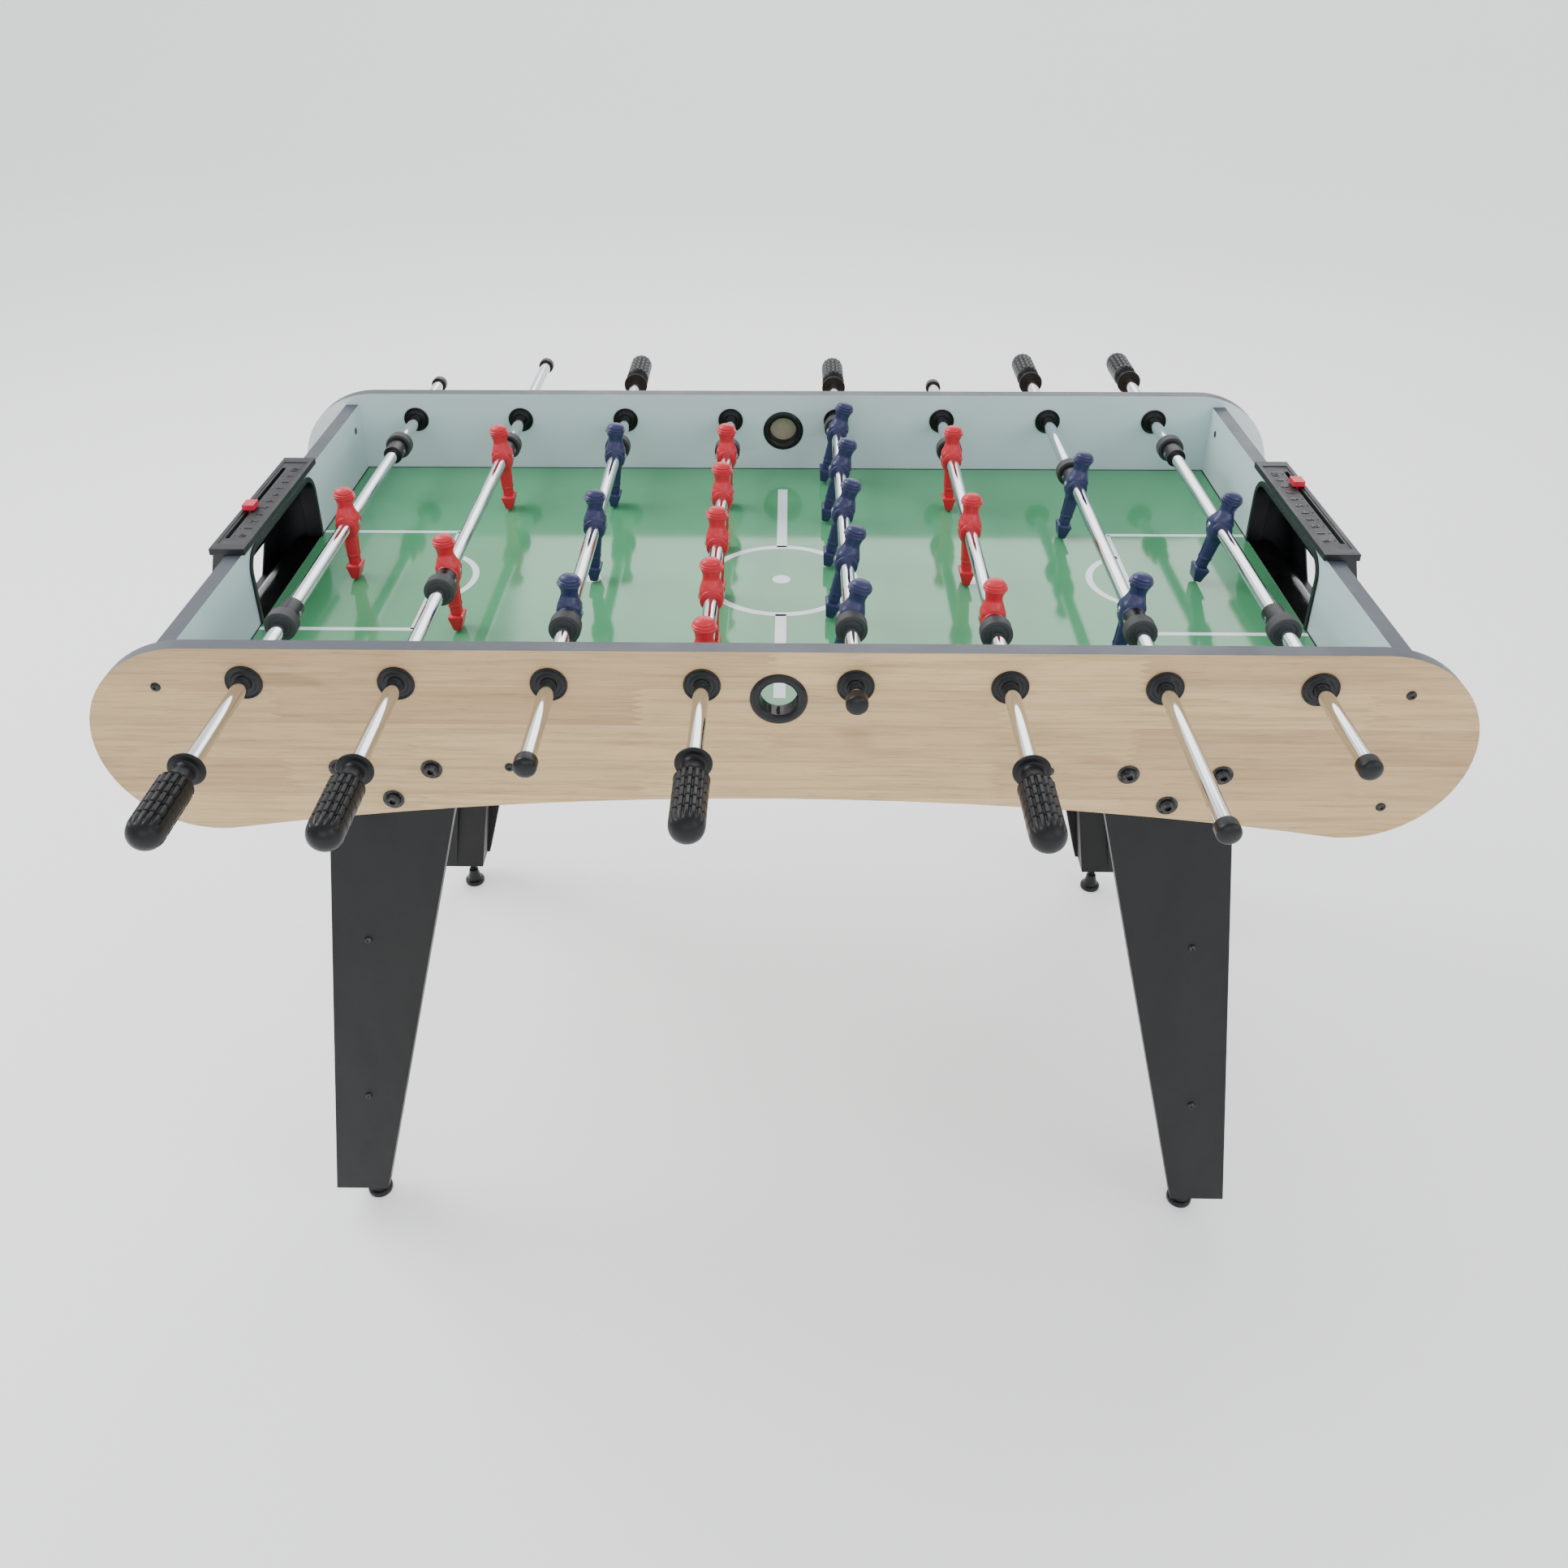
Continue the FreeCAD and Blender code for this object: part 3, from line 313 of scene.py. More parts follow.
# High-gloss green laminate whose orange peel ripples the rods' reflections; bare board below.
def fieldMaterial():
    material, tree, shader, where = startMaterial("playfield_gloss_laminate")
    cloud = add(tree, "TexNoise", where, 1000 / 160, 3, 0.55)
    peel = add(tree, "TexNoise", add(tree, "Mapping", where, (0.45, 1, 1)), 1000 / 3.4, 2, 0.55)
    waves = add(tree, "TexNoise", add(tree, "Mapping", where, (0.4, 1, 1)), 1000 / 14, 2, 0.55)
    scuffs = add(tree, "TexNoise", add(tree, "Mapping", where, (0.25, 1, 1)), 1000 / 6, 8, 0.75)
    clouded = add(tree, "MapRange", cloud, 0.3, 0.7, 0, 0.5)
    colour = add(tree, "Mix", clouded, linear("4F9A6B"), linear("5AA677"))
    scuffed = add(tree, "MapRange", scuffs, 0.66, 0.8, 0, 0.08)
    colour = add(tree, "Mix", scuffed, colour, linear("9FCBAE"))
    up = add(tree, "SeparateXYZ", add(tree, "TexCoord", output="Normal"), output="Z")
    onTop = add(tree, "Math", up, 0.7, operation="GREATER_THAN")
    below = add(tree, "Math", 1.0, onTop, operation="SUBTRACT")
    dull = add(tree, "Math", below, 0.6, operation="MULTIPLY")
    polish = add(tree, "MapRange", scuffs, 0.3, 0.7, 0.05, 0.13)
    wavy = add(tree, "Bump", waves, 0.05 * millimetre, 0.45)
    feed(tree, shader, {
        "Base Color": add(tree, "Mix", onTop, linear("A89C82"), colour),
        "Roughness": add(tree, "Math", polish, dull, operation="ADD"),
        "Normal": add(tree, "Bump", peel, 0.03 * millimetre, 0.5, wavy),
        "Specular IOR Level": 0.5})
    return material


# Chrome plated drawn tube: sharp reflections, faintly hazed by hands and long drawing marks.
def chromeMaterial():
    material, tree, shader, where = startMaterial("chrome_plated_tube")
    drawn = add(tree, "TexNoise", add(tree, "Mapping", where, (1, 0.02, 1)), 1000 / 0.8, 3, 0.55)
    haze = add(tree, "TexNoise", where, 1000 / 40, 5, 0.65)
    feed(tree, shader, {
        "Base Color": linear("D9DBDD"), "Metallic": 1.0,
        "Roughness": add(tree, "MapRange", haze, 0.3, 0.7, 0.05, 0.15),
        "Normal": add(tree, "Bump", drawn, 0.002 * millimetre, 0.6)})
    return material


# Plated or blackened steel: dull metal with brighter rubbed patches.
def steelMaterial(name, hexColour, roughness):
    material, tree, shader, where = startMaterial(name)
    patches = add(tree, "TexNoise", where, 1000 / 4, 5, 0.7)
    texture = add(tree, "TexNoise", where, 1000 / 0.5, 2, 0.55)
    bright = add(tree, "MapRange", patches, 0.3, 0.7, 0, 0.35)
    feed(tree, shader, {
        "Base Color": add(tree, "Mix", bright, linear(hexColour), linear("8A8C8E")),
        "Metallic": 1.0,
        "Roughness": add(tree, "MapRange", patches, 0.3, 0.7, roughness - 0.08, roughness + 0.12),
        "Normal": add(tree, "Bump", texture, 0.004 * millimetre, 1.0)})
    return material


# Black melamine board: a fine linen press under dusty smears.
def blackBoard():
    material, tree, shader, where = startMaterial("black_melamine_board")
    weave = add(tree, "TexNoise", add(tree, "Mapping", where, (1, 1, 0.2)), 1000 / 0.9, 3, 0.55)
    smear = add(tree, "TexNoise", add(tree, "Mapping", where, (1, 1, 0.35)), 1000 / 45, 5, 0.65)
    dusty = add(tree, "MapRange", smear, 0.3, 0.7, 0, 0.06)
    feed(tree, shader, {
        "Base Color": add(tree, "Mix", dusty, linear("0B0B0C"), linear("3A3B3E")),
        "Roughness": add(tree, "MapRange", smear, 0.3, 0.7, 0.42, 0.58),
        "Normal": add(tree, "Bump", weave, 0.03 * millimetre, 0.7),
        "Specular IOR Level": 0.3})
    return material


# White printed lines under the same gloss, worn thin in places so the green shows.
def markingPaint():
    material, tree, shader, where = startMaterial("white_field_marking")
    worn = add(tree, "TexNoise", where, 1000 / 7, 6, 0.7)
    ripple = add(tree, "TexNoise", where, 1000 / 3.2, 2, 0.55)
    thin = add(tree, "MapRange", worn, 0.6, 0.8, 0, 0.12)
    feed(tree, shader, {
        "Base Color": add(tree, "Mix", thin, linear("EEF3F8"), linear("A9C9B4")),
        "Roughness": add(tree, "MapRange", worn, 0.3, 0.7, 0.10, 0.2),
        "Normal": add(tree, "Bump", ripple, 0.02 * millimetre, 0.5),
        "Specular IOR Level": 0.5})
    return material


# Bare fibreboard at the bottom of the far inlet's pocket: matt and fibrous.
def rawBoard():
    material, tree, shader, where = startMaterial("bare_fibreboard")
    fibres = add(tree, "TexNoise", where, 1000 / 1.1, 6, 0.7)
    mottled = add(tree, "MapRange", fibres, 0.3, 0.7, 0, 0.7)
    feed(tree, shader, {
        "Base Color": add(tree, "Mix", mottled, linear("BDB59F"), linear("8F8770")),
        "Roughness": 0.85,
        "Normal": add(tree, "Bump", fibres, 0.15 * millimetre, 1.0)})
    return material


sideOuter = cabinetBoard("oak_board_near", "Y", -1)
sideOuterFar = cabinetBoard("oak_board_far", "Y", 1)
endLeft = cabinetBoard("oak_board_left", "X", -1)
endRight = cabinetBoard("oak_board_right", "X", 1)
green = fieldMaterial()
chrome = chromeMaterial()
legBoard = blackBoard()
white = markingPaint()
fibreboard = rawBoard()
redFigure = moulded("red_moulded_figure", "D01A2E", 0.36, 0.7, 0.01, "F08C8C")
navyFigure = moulded("navy_moulded_figure", "262A55", 0.36, 0.7, 0.01, "7C82A8")
blackPlastic = moulded("black_moulded_plastic", "0D0D0F", 0.36, 0.45, 0.02, "4A4B4E", 0.04, 0.35)
blackGrip = moulded("black_grip_plastic", "0A0A0C", 0.40, 0.35, 0.03, "4A4B4E", 0.04, 0.32)
greyRubber = moulded("grey_rubber", "39393A", 0.62, 0.5, 0.03, "7A7A7A")
glossyPlastic = moulded("glossy_black_plastic", "0A0A0B", 0.2, 2.5, 0.02, "4A4B4E", 0.04)
redMarker = moulded("red_marker_plastic", "D8173C", 0.4, 0.6, 0.01, "F5A0B0")
railPlastic = moulded("grained_rail_plastic", "1B1C20", 0.42, 0.6, 0.05, "5C5F66", 0.05, 0.4)
screwSteel = steelMaterial("bright_screw_steel", "B9BBBD", 0.28)
blackSteel = steelMaterial("black_oxide_steel", "1E1E20", 0.42)
# Black material for the strip along the field's edge gap: painted shade.
gapShadeBlack = moulded("black_painted_gap_shade", "131415", 0.6, 0.8, 0.02)
print("materials made")


rounded("front_panel", sideOuter, 0.9)
rounded("back_panel", sideOuterFar, 0.9)
rounded("left_end_panel", endLeft, 0.7)
rounded("right_end_panel", endRight, 0.7)
for row in ("front", "back"):
    for hand in ("left", "right"):
        rounded(f"{row}_{hand}_leg", legBoard, 2.2)
frame["nodes"]["playfield"].data.materials.clear()
frame["nodes"]["playfield"].data.materials.append(green)

fieldLow, fieldHigh = [np.array(corner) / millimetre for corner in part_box("playfield")]
surfaceHeight = fieldHigh[2]
# joint is the width of the black strip of painted shade along the field's edge gap.
field = {"line": 9, "circle": 90, "spot": 11, "penalty": 233, "boxDepth": 180, "boxHalf": 131,
         "arcBulge": 46, "arcHalf": 66, "centreLine": 13, "lineLength": 275, "thickness": 0.06,
         "joint": 1.6, "mouthHalf": 123}


# A flat painted line of that width along a path, just above the playing surface.
def band(path, width):
    path = np.array(path, float)
    ahead = np.gradient(path, axis=0)
    side = np.stack([-ahead[:, 1], ahead[:, 0]], axis=1)
    side = side / np.linalg.norm(side, axis=1)[:, None] * width / 2
    top = surfaceHeight + field["thickness"]
    ring = [np.c_[path - side, np.full(len(path), surfaceHeight)],
            np.c_[path - side, np.full(len(path), top)],
            np.c_[path + side, np.full(len(path), top)],
            np.c_[path + side, np.full(len(path), surfaceHeight)]]
    grid = np.stack(ring, axis=1)
    first = np.repeat(grid[:1].mean(axis=1, keepdims=True), 4, axis=1)
    last = np.repeat(grid[-1:].mean(axis=1, keepdims=True), 4, axis=1)
    return strip(np.concatenate([first, grid, last]), True)


def ringPath(x, y, radius, startAngle, endAngle, points=64):
    angle = np.radians(np.linspace(startAngle, endAngle, points))
    return np.stack([x + radius * np.cos(angle), y + radius * np.sin(angle)], axis=1)


def disc(x, y, radius):
    top = surfaceHeight + field["thickness"]
    return lathe([(surfaceHeight, 0), (surfaceHeight, radius), (top, radius), (top, 0)],
                 (x, y, 0), 48, 2)


def markings():
    lines = []
    half = fieldHigh[0]
    lines.append(band([(0, field["circle"]), (0, 180), (0, field["lineLength"])], field["centreLine"]))
    lines.append(band([(0, -field["lineLength"]), (0, -180), (0, -field["circle"])], field["centreLine"]))
    lines.append(band(ringPath(0, 0, field["circle"], 0, 360), field["line"]))
    lines.append(disc(0, 0, field["spot"]))
    for end in (-1, 1):
        lines.append(disc(end * field["penalty"], 0, field["spot"]))
        inner = end * (half - field["boxDepth"])
        for side in (-1, 1):
            y = side * field["boxHalf"]
            lines.append(band([(end * (half - 1), y), (end * (half - 90), y), (inner, y)], 7))
        lines.append(band([(inner, -field["boxHalf"]), (inner, 0), (inner, field["boxHalf"])], 7))
        bulge, reach = field["arcBulge"], field["arcHalf"]
        radius = (bulge ** 2 + reach ** 2) / (2 * bulge)
        sweep = math.degrees(math.asin(min(1, reach / radius)))
        turn = 0 if end < 0 else 180
        centre = inner - end * bulge + end * radius
        lines.append(band(ringPath(centre, 0, radius, turn - sweep, turn + sweep), 8))
    return lines


piece("field_markings", markings(), white, "table")


# A black strip along the gap where the playing surface meets the four walls: painted shade in that gap.
def jointLine():
    width, top = field["joint"], surfaceHeight + 0.5
    low, high = fieldLow, fieldHigh
    runs = [((low[0], low[1]), (high[0], low[1] + width)), ((low[0], high[1] - width), (high[0], high[1]))]
    for x in (low[0], high[0] - width):
        runs.append(((x, low[1]), (x + width, -field["mouthHalf"])))
        runs.append(((x, field["mouthHalf"]), (x + width, high[1])))
    return [block((*a, surfaceHeight - 0.2), (*b, top)) for a, b in runs]


# The black strip of painted shade along the field's edge gap.
piece("field_gap_painted_shade", jointLine(), gapShadeBlack, "table")
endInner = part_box("right_end_panel")[0][0] / millimetre
nut = {"radius": 5, "height": 811, "across": 320}
nutProfile = [(0.3, 0), (0.3, nut["radius"]), (-0.3, nut["radius"] - 0.4), (-0.3, 0)]
nuts = [lathe([(side * (endInner + a), r) for a, r in nutProfile], (0, y, nut["height"]), 32, 0)
        for side in (-1, 1) for y in (-nut["across"], nut["across"])]
piece("barrel_nut_ends", nuts, blackPlastic, "table")
print("cabinet made")


nearFace, nearInner = [corner[1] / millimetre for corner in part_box("front_panel")]
farInner, farFace = [corner[1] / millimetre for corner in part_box("back_panel")]
axisHeight = middle("rod_1_tube")[2]
rodX = {number: middle(f"rod_{number}_tube")[0] for number in range(1, 9)}
bearing = {"flange": 18.5, "inner": 17.5, "bore": 8.1, "hub": 11.5, "dish": 1.3, "barrel": 13}


# Dished flange with a raised hub round the rod, seen from outside the panel or inside it.
def bearingSurface(x, face, inward, radius):
    out = -inward
    profile = [(0, bearing["bore"]), (out * 2.9, bearing["bore"]), (out * 2.9, bearing["hub"]),
               (out * bearing["dish"], bearing["hub"] + 1.2), (out * bearing["dish"], radius - 2.6),
               (out * 2.6, radius - 1.2), (out * 2.2, radius), (0, radius), (0, bearing["bore"])]
    profile = [(face + a, r) for a, r in soften(profile, 0.7)]
    return lathe(profile, (x, 0, axisHeight), 64)


surfaces = []
for number, x in rodX.items():
    surfaces.append(bearingSurface(x, nearFace, 1, bearing["flange"]))
    surfaces.append(bearingSurface(x, farFace, -1, bearing["flange"]))
    surfaces.append(bearingSurface(x, nearInner, -1, bearing["inner"]))
    surfaces.append(bearingSurface(x, farInner, 1, bearing["inner"]))
    for low, high in ((nearFace, nearInner), (farInner, farFace)):
        bore, barrel = bearing["bore"], bearing["barrel"]
        tube = [(low, bore), (high, bore), (high, barrel), (low, barrel), (low, bore)]
        surfaces.append(lathe(tube, (x, 0, axisHeight), 48))
piece("bearing_bushes", surfaces, blackPlastic, "table", 35, replaced=("rod_bearings",))

inletLow, inletHigh = [np.array(corner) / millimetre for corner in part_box("ball_inlets")]
inlet = {"flange": (inletHigh[0] - inletLow[0]) / 2, "bore": 18.8, "barrel": 22.5, "reach": 9,
         "pocket": 14, "height": (inletLow[2] + inletHigh[2]) / 2}


# Flange with a rolled inner lip, and its barrel running depth into the panel.
def inletRing(face, out, depth):
    bore, flange, barrel = inlet["bore"], inlet["flange"], inlet["barrel"]
    profile = [(-out * depth, bore), (out * 0.6, bore), (out * 2.9, bore + 3.0),
               (out * 2.9, flange - 3), (out * 1.0, flange), (0, flange), (0, barrel),
               (-out * depth, barrel), (-out * depth, bore)]
    profile = [(face + a, r) for a, r in soften(profile, 1.0)]
    return lathe(profile, (0, 0, inlet["height"]), 80)


piece("inlet_rings", [inletRing(nearFace, -1, inlet["reach"]), inletRing(nearInner, 1, inlet["reach"]),
                      inletRing(farInner, -1, inlet["pocket"])],
      blackPlastic, "table", 35, replaced=("ball_inlets",))
floorDisc = farInner + inlet["pocket"] - 0.4
piece("inlet_pocket_floor", [lathe([(floorDisc, 0), (floorDisc, inlet["bore"] - 0.05),
                                    (floorDisc + 0.3, inlet["bore"] - 0.05), (floorDisc + 0.3, 0)],
                                   (0, 0, inlet["height"]), 48)],
      fibreboard, "table")
print("bearings made")


for number in range(1, 9):
    rounded(f"rod_{number}_tube", chrome, 0.2)

figureLook = {"around": 56, "barrel": 12.5, "half": 14, "bore": 7.9}
# Height from the rod axis, half width along the rod, half depth front to back.
sections = [(46, 0.2, 0.2), (45.4, 4.6, 5.2), (44, 7.6, 8.8), (41.5, 9.4, 10.9), (38.5, 10.2, 11.9),
            (35, 10.3, 12.1), (33.2, 10, 11.6), (31, 9, 10.4), (27, 8.2, 9.6), (24, 7.8, 9.2),
            (21.5, 8.2, 9.4), (19, 9.8, 10.2), (16, 11.8, 11.2), (12, 13, 12.3), (7, 13.4, 13.2),
            (2, 13.5, 13.6), (-4, 13.5, 13.4), (-9, 13.2, 12.6), (-12, 11.2, 10.8), (-15, 9.4, 9),
            (-19, 8.8, 8.4), (-30, 8.4, 7.9), (-42, 7.8, 7.3), (-43.5, 7.4, 7), (-52, 7.2, 6.8),
            (-56, 7, 6.6), (-56.2, 0.2, 0.2)]


# Height by angle: x = depth cos t, y = width sin t, with cap stripes, a face, pectorals,
# a groove between the legs and a sock line.
def figureBody(face):
    table = np.array(sections)
    height = np.concatenate([np.linspace(46, 20, 78), np.linspace(19.6, -56.2, 116)])
    width = np.interp(-height, -table[:, 0], table[:, 1])
    depth = np.interp(-height, -table[:, 0], table[:, 2])
    kernel = np.hanning(9)
    kernel = kernel / kernel.sum()
    width[6:-6] = np.convolve(width, kernel, "same")[6:-6]
    depth[6:-6] = np.convolve(depth, kernel, "same")[6:-6]
    angle = np.linspace(0, 2 * np.pi, figureLook["around"], endpoint=False)
    h = height[:, None]
    forward = np.cos(angle)[None, :] * face
    inCap = np.clip((h - 33.5) / 1.0, 0, 1) * np.clip((41.5 - h) / 1.5, 0, 1)
    stripes = 1 + 0.07 * inCap * np.cos((h - 33.5) * 2 * np.pi / 2.6)
    brim = 1 + 0.17 * np.exp(-((h - 34.5) / 1.5) ** 2) * np.clip(forward, 0, 1) ** 2
    nose = 1 + 0.10 * np.exp(-((h - 30) / 1.4) ** 2) * np.exp(-((forward - 1) / 0.05) ** 2)
    eyes = 1 - 0.06 * np.exp(-((h - 31.6) / 1.0) ** 2) * np.exp(-((forward - 0.88) / 0.05) ** 2)
    chest = 1 + 0.10 * np.exp(-((h - 9) / 3.5) ** 2) * np.exp(-((np.abs(forward) - 0.85) / 0.14) ** 2)
    legs = np.clip((-h - 14) / 8, 0, 1)
    groove = 1 - 0.24 * legs * np.exp(-((np.abs(forward) - 1) / 0.035) ** 2)
    sock = 1 + 0.07 * np.clip((-h - 40.0) / 0.5, 0, 1) * np.clip((h + 43.5) / 0.6, 0, 1)
    scale = stripes * brim * nose * eyes * chest * groove * sock
    cosine, sine = np.cos(angle)[None, :], np.sin(angle)[None, :]
    power = 2 / (2.0 + 0.7 * np.clip((14 - h) / 10, 0, 1))
    grid = np.zeros((len(height), len(angle), 3))
    grid[..., 0] = depth[:, None] * scale * np.sign(cosine) * np.abs(cosine) ** power
    grid[..., 1] = width[:, None] * scale * np.sign(sine) * np.abs(sine) ** power
    grid[..., 2] = h
    return strip(grid, True)


# Wedge foot: plan outline shrinks from the instep to the sole, corners slightly rounded.
def figureFoot():
    levels = np.array([(-53.0, 3.0, 3.0), (-53.4, 8.0, 10.6), (-54.2, 8.9, 11.4), (-55.4, 8.9, 11.5),
                       (-69.8, 4.7, 10.9), (-70.8, 4.1, 10.3), (-71.0, 0.2, 0.2)])
    angle = np.linspace(0, 2 * np.pi, 48, endpoint=False)
    grid = np.zeros((len(levels), len(angle), 3))
    square = 2 / 14
    cosine, sine = np.cos(angle), np.sin(angle)
    grid[..., 0] = levels[:, 1:2] * (np.sign(cosine) * np.abs(cosine) ** square)
    grid[..., 1] = levels[:, 2:3] * (np.sign(sine) * np.abs(sine) ** square)
    grid[..., 2] = levels[:, :1]
    top = grid[:1] * np.array([0, 0, 1])
    return strip(np.concatenate([top, grid]), True)


# The sleeve that grips the rod, with a raised rim at each end.
def figureBarrel():
    half, outer, bore = figureLook["half"], figureLook["barrel"], figureLook["bore"]
    profile = [(-half, bore), (-half, outer - 0.4), (-half + 2, outer), (-half + 2.6, outer - 0.5),
               (0, outer - 0.7), (half - 2.6, outer - 0.5), (half - 2, outer), (half, outer - 0.4),
               (half, bore), (-half, bore)]
    return lathe(soften(profile, 0.6), (0, 0, 0), 56)


# Domed bolt head with a round drive recess, sunk a little in the figure's side.
def boltHead(face):
    seat = -face * 12.9
    profile = [(seat, 0), (seat, 3.6), (seat - face * 0.9, 3.5), (seat - face * 1.7, 2.5),
               (seat - face * 1.9, 1.3), (seat - face * 1.2, 1.1), (seat - face * 1.1, 0)]
    return lathe(profile, (0, 0, 0), 24, 0)


# The surface turned by lean degrees about the rod and moved to its place on it.
def placed(surface, x, y, lean):
    vertices, faces = surface
    angle = math.radians(lean)
    cosine, sine = math.cos(angle), math.sin(angle)
    turn = np.array([[cosine, 0, sine], [0, 1, 0], [-sine, 0, cosine]])
    return vertices @ turn.T + np.array([x, y, axisHeight]), faces


# Places of a rod's figures across the table, from the box and the count.
def crossings(number):
    low, high = [corner[1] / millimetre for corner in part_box(f"rod_{number}_men")]
    half = figureLook["half"]
    count = figureCount[number]
    return [(low + high) / 2] if count == 1 else np.linspace(low + half, high - half, count)


figureCount = {1: 1, 2: 2, 3: 3, 4: 5, 5: 5, 6: 3, 7: 2, 8: 1}
leans = {1: 0, 2: -3, 3: 4, 4: 0, 5: 15, 6: 0, 7: 10, 8: 15}
nearTeam = (1, 2, 4, 6)
for number in range(1, 9):
    face = 1 if number in nearTeam else -1
    body = f"rod_{number}_assembly"
    shapes = [figureBody(face), figureFoot(), figureBarrel()]
    men = [placed(shape, rodX[number], y, leans[number]) for y in crossings(number) for shape in shapes]
    colour = redFigure if face > 0 else navyFigure
    piece(f"rod_{number}_figures", men, colour, body, 50, replaced=(f"rod_{number}_men",))
    bolts = [placed(boltHead(way), rodX[number], y, leans[number])
             for y in crossings(number) for way in (-1, 1)]
    piece(f"rod_{number}_bolts", bolts, screwSteel, body, 30)
print("figures made")

bumper = {"radius": 17, "bore": 8.0, "half": 7.5, "round": 2.2, "hubRadius": 11, "sink": 1.6}


# Thick rubber ring, its rims rounded and its faces sunk round the rod.
def bumperRing(x, y):
    half, radius, sink = bumper["half"], bumper["radius"], bumper["sink"]
    profile = [(-half + sink, bumper["bore"]), (-half + sink, bumper["hubRadius"]),
               (-half, bumper["hubRadius"] + 1.5), (-half, radius - 0.3), (-half + 1.2, radius),
               (0, radius), (half - 1.2, radius), (half, radius - 0.3), (half, bumper["hubRadius"] + 1.5),
               (half - sink, bumper["hubRadius"]), (half - sink, bumper["bore"]),
               (-half + sink, bumper["bore"])]
    return lathe([(y + a, r) for a, r in soften(profile, bumper["round"] * 0.5)], (x, 0, axisHeight), 64)


collar = {"radius": 12.5, "bore": 7.9}
capLook = {"radius": 11, "length": 16, "dome": 5.5, "bore": 7.9, "depth": 8}


# Stop collar, both ends chamfered.
def collarTube(x, low, high):
    radius = collar["radius"]
    bore = collar["bore"]
    profile = [(low, bore), (low, radius - 0.6), (low + 1.0, radius - 0.2),
               (high - 1.0, radius - 0.2), (high, radius - 0.6), (high, bore), (low, bore)]
    return lathe(soften(profile, 0.5), (x, 0, axisHeight), 56)


# Closed cap: open mouth over the rod, straight skirt, domed end.
def capSurface(x, tip, mouth):
    radius = capLook["radius"]
    way = 1 if mouth > tip else -1
    dome = [(tip + way * capLook["dome"] * (1 - math.sin(t)), radius * math.cos(t))
            for t in np.linspace(math.pi / 2, 0, 12)]
    profile = dome + [(mouth - way * 1.4, radius), (mouth - way * 1.2, radius), (mouth, radius - 0.4),
                      (mouth, capLook["bore"]), (mouth - way * capLook["depth"], capLook["bore"])]
    return lathe(profile, (x, 0, axisHeight), 48)


# Socket set screw showing in the collar's side.
def setScrew(x, y, side):
    seat = x + side * 11.2
    profile = [(0, 0), (0, 2.6), (side * 1.5, 2.6), (side * 1.6, 1.3), (side * 0.7, 1.2), (side * 0.7, 0)]
    return lathe([(seat + a, r) for a, r in profile], (0, y, axisHeight), 20, 0)


collarLength = {1: 30, 2: 22, 3: 10, 4: 0, 5: 0, 6: 10, 7: 22, 8: 30}
for number in range(1, 9):
    x = rodX[number]
    low, high = [corner[1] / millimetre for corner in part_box(f"rod_{number}_bumpers")]
    rings = (low + bumper["half"], high - bumper["half"])
    piece(f"rod_{number}_rubber_rings", [bumperRing(x, y) for y in rings], greyRubber,
          f"rod_{number}_carriage", 40, replaced=(f"rod_{number}_bumpers",))
    side = -1 if number in nearTeam else 1
    fitLow, fitHigh = [corner[1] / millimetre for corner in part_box(f"rod_{number}_fittings")]
    capEnd = fitLow if side > 0 else fitHigh
    capEnds = (capEnd, capEnd + side * capLook["length"])
    parts = [capSurface(x, *capEnds)]
    screws = []
    length = collarLength[number]
    if length:
        for ring, way in zip(rings, (1, -1)):
            near = ring + way * (bumper["half"] + 0.3)
            far = near + way * length
            parts.append(collarTube(x, min(near, far), max(near, far)))
            screws.append(setScrew(x, (near + far) / 2, -side))
    body = f"rod_{number}_assembly"
    piece(f"rod_{number}_end_cap_and_collars", parts, blackPlastic, body, 40,
          replaced=(f"rod_{number}_fittings",))
    if screws:
        piece(f"rod_{number}_set_screws", screws, screwSteel, body, 30)
print("bumpers made")

grip = {"length": 107, "flange": 17.5, "neck": 9.8, "neckEnd": 25, "body": 16.9, "dome": 17,
        "ribs": 16, "ribDepth": 2.6, "ring": 13.6, "ringDepth": 1.9, "flatHalf": 0.5}


# Ribbed grip: radius less a groove beside every rib and a shallow ring groove at each step;
# two broad flats have no ribs.
def gripRadius(along, radius, angle):
    inBody = np.clip((along - grip["neckEnd"] - 2) / 3, 0, 1)
    inBody = inBody * np.clip((grip["length"] - 7 - along) / 8, 0, 1)
    fromFlat = np.abs(np.mod(angle + np.pi / 2, np.pi) - np.pi / 2)
    onRibs = np.clip((fromFlat - grip["flatHalf"]) / 0.06, 0, 1)
    wave = np.abs(np.mod(angle * grip["ribs"] / (2 * np.pi) + 0.5, 1) - 0.5) * 2
    groove = np.clip((wave - 0.5) / 0.26, 0, 1)
    stepped = np.mod(along - grip["neckEnd"] - 4, grip["ring"])
    nearRing = np.exp(-(np.minimum(stepped, grip["ring"] - stepped) / 0.7) ** 2)
    inRings = np.clip((grip["length"] - 16 - along) / 2, 0, 1)
    cut = grip["ribDepth"] * onRibs * groove + grip["ringDepth"] * nearRing * inRings * (0.5 + 0.5 * onRibs)
    flat = 0.7 * (1 - onRibs)
    return radius - inBody * (cut + flat)


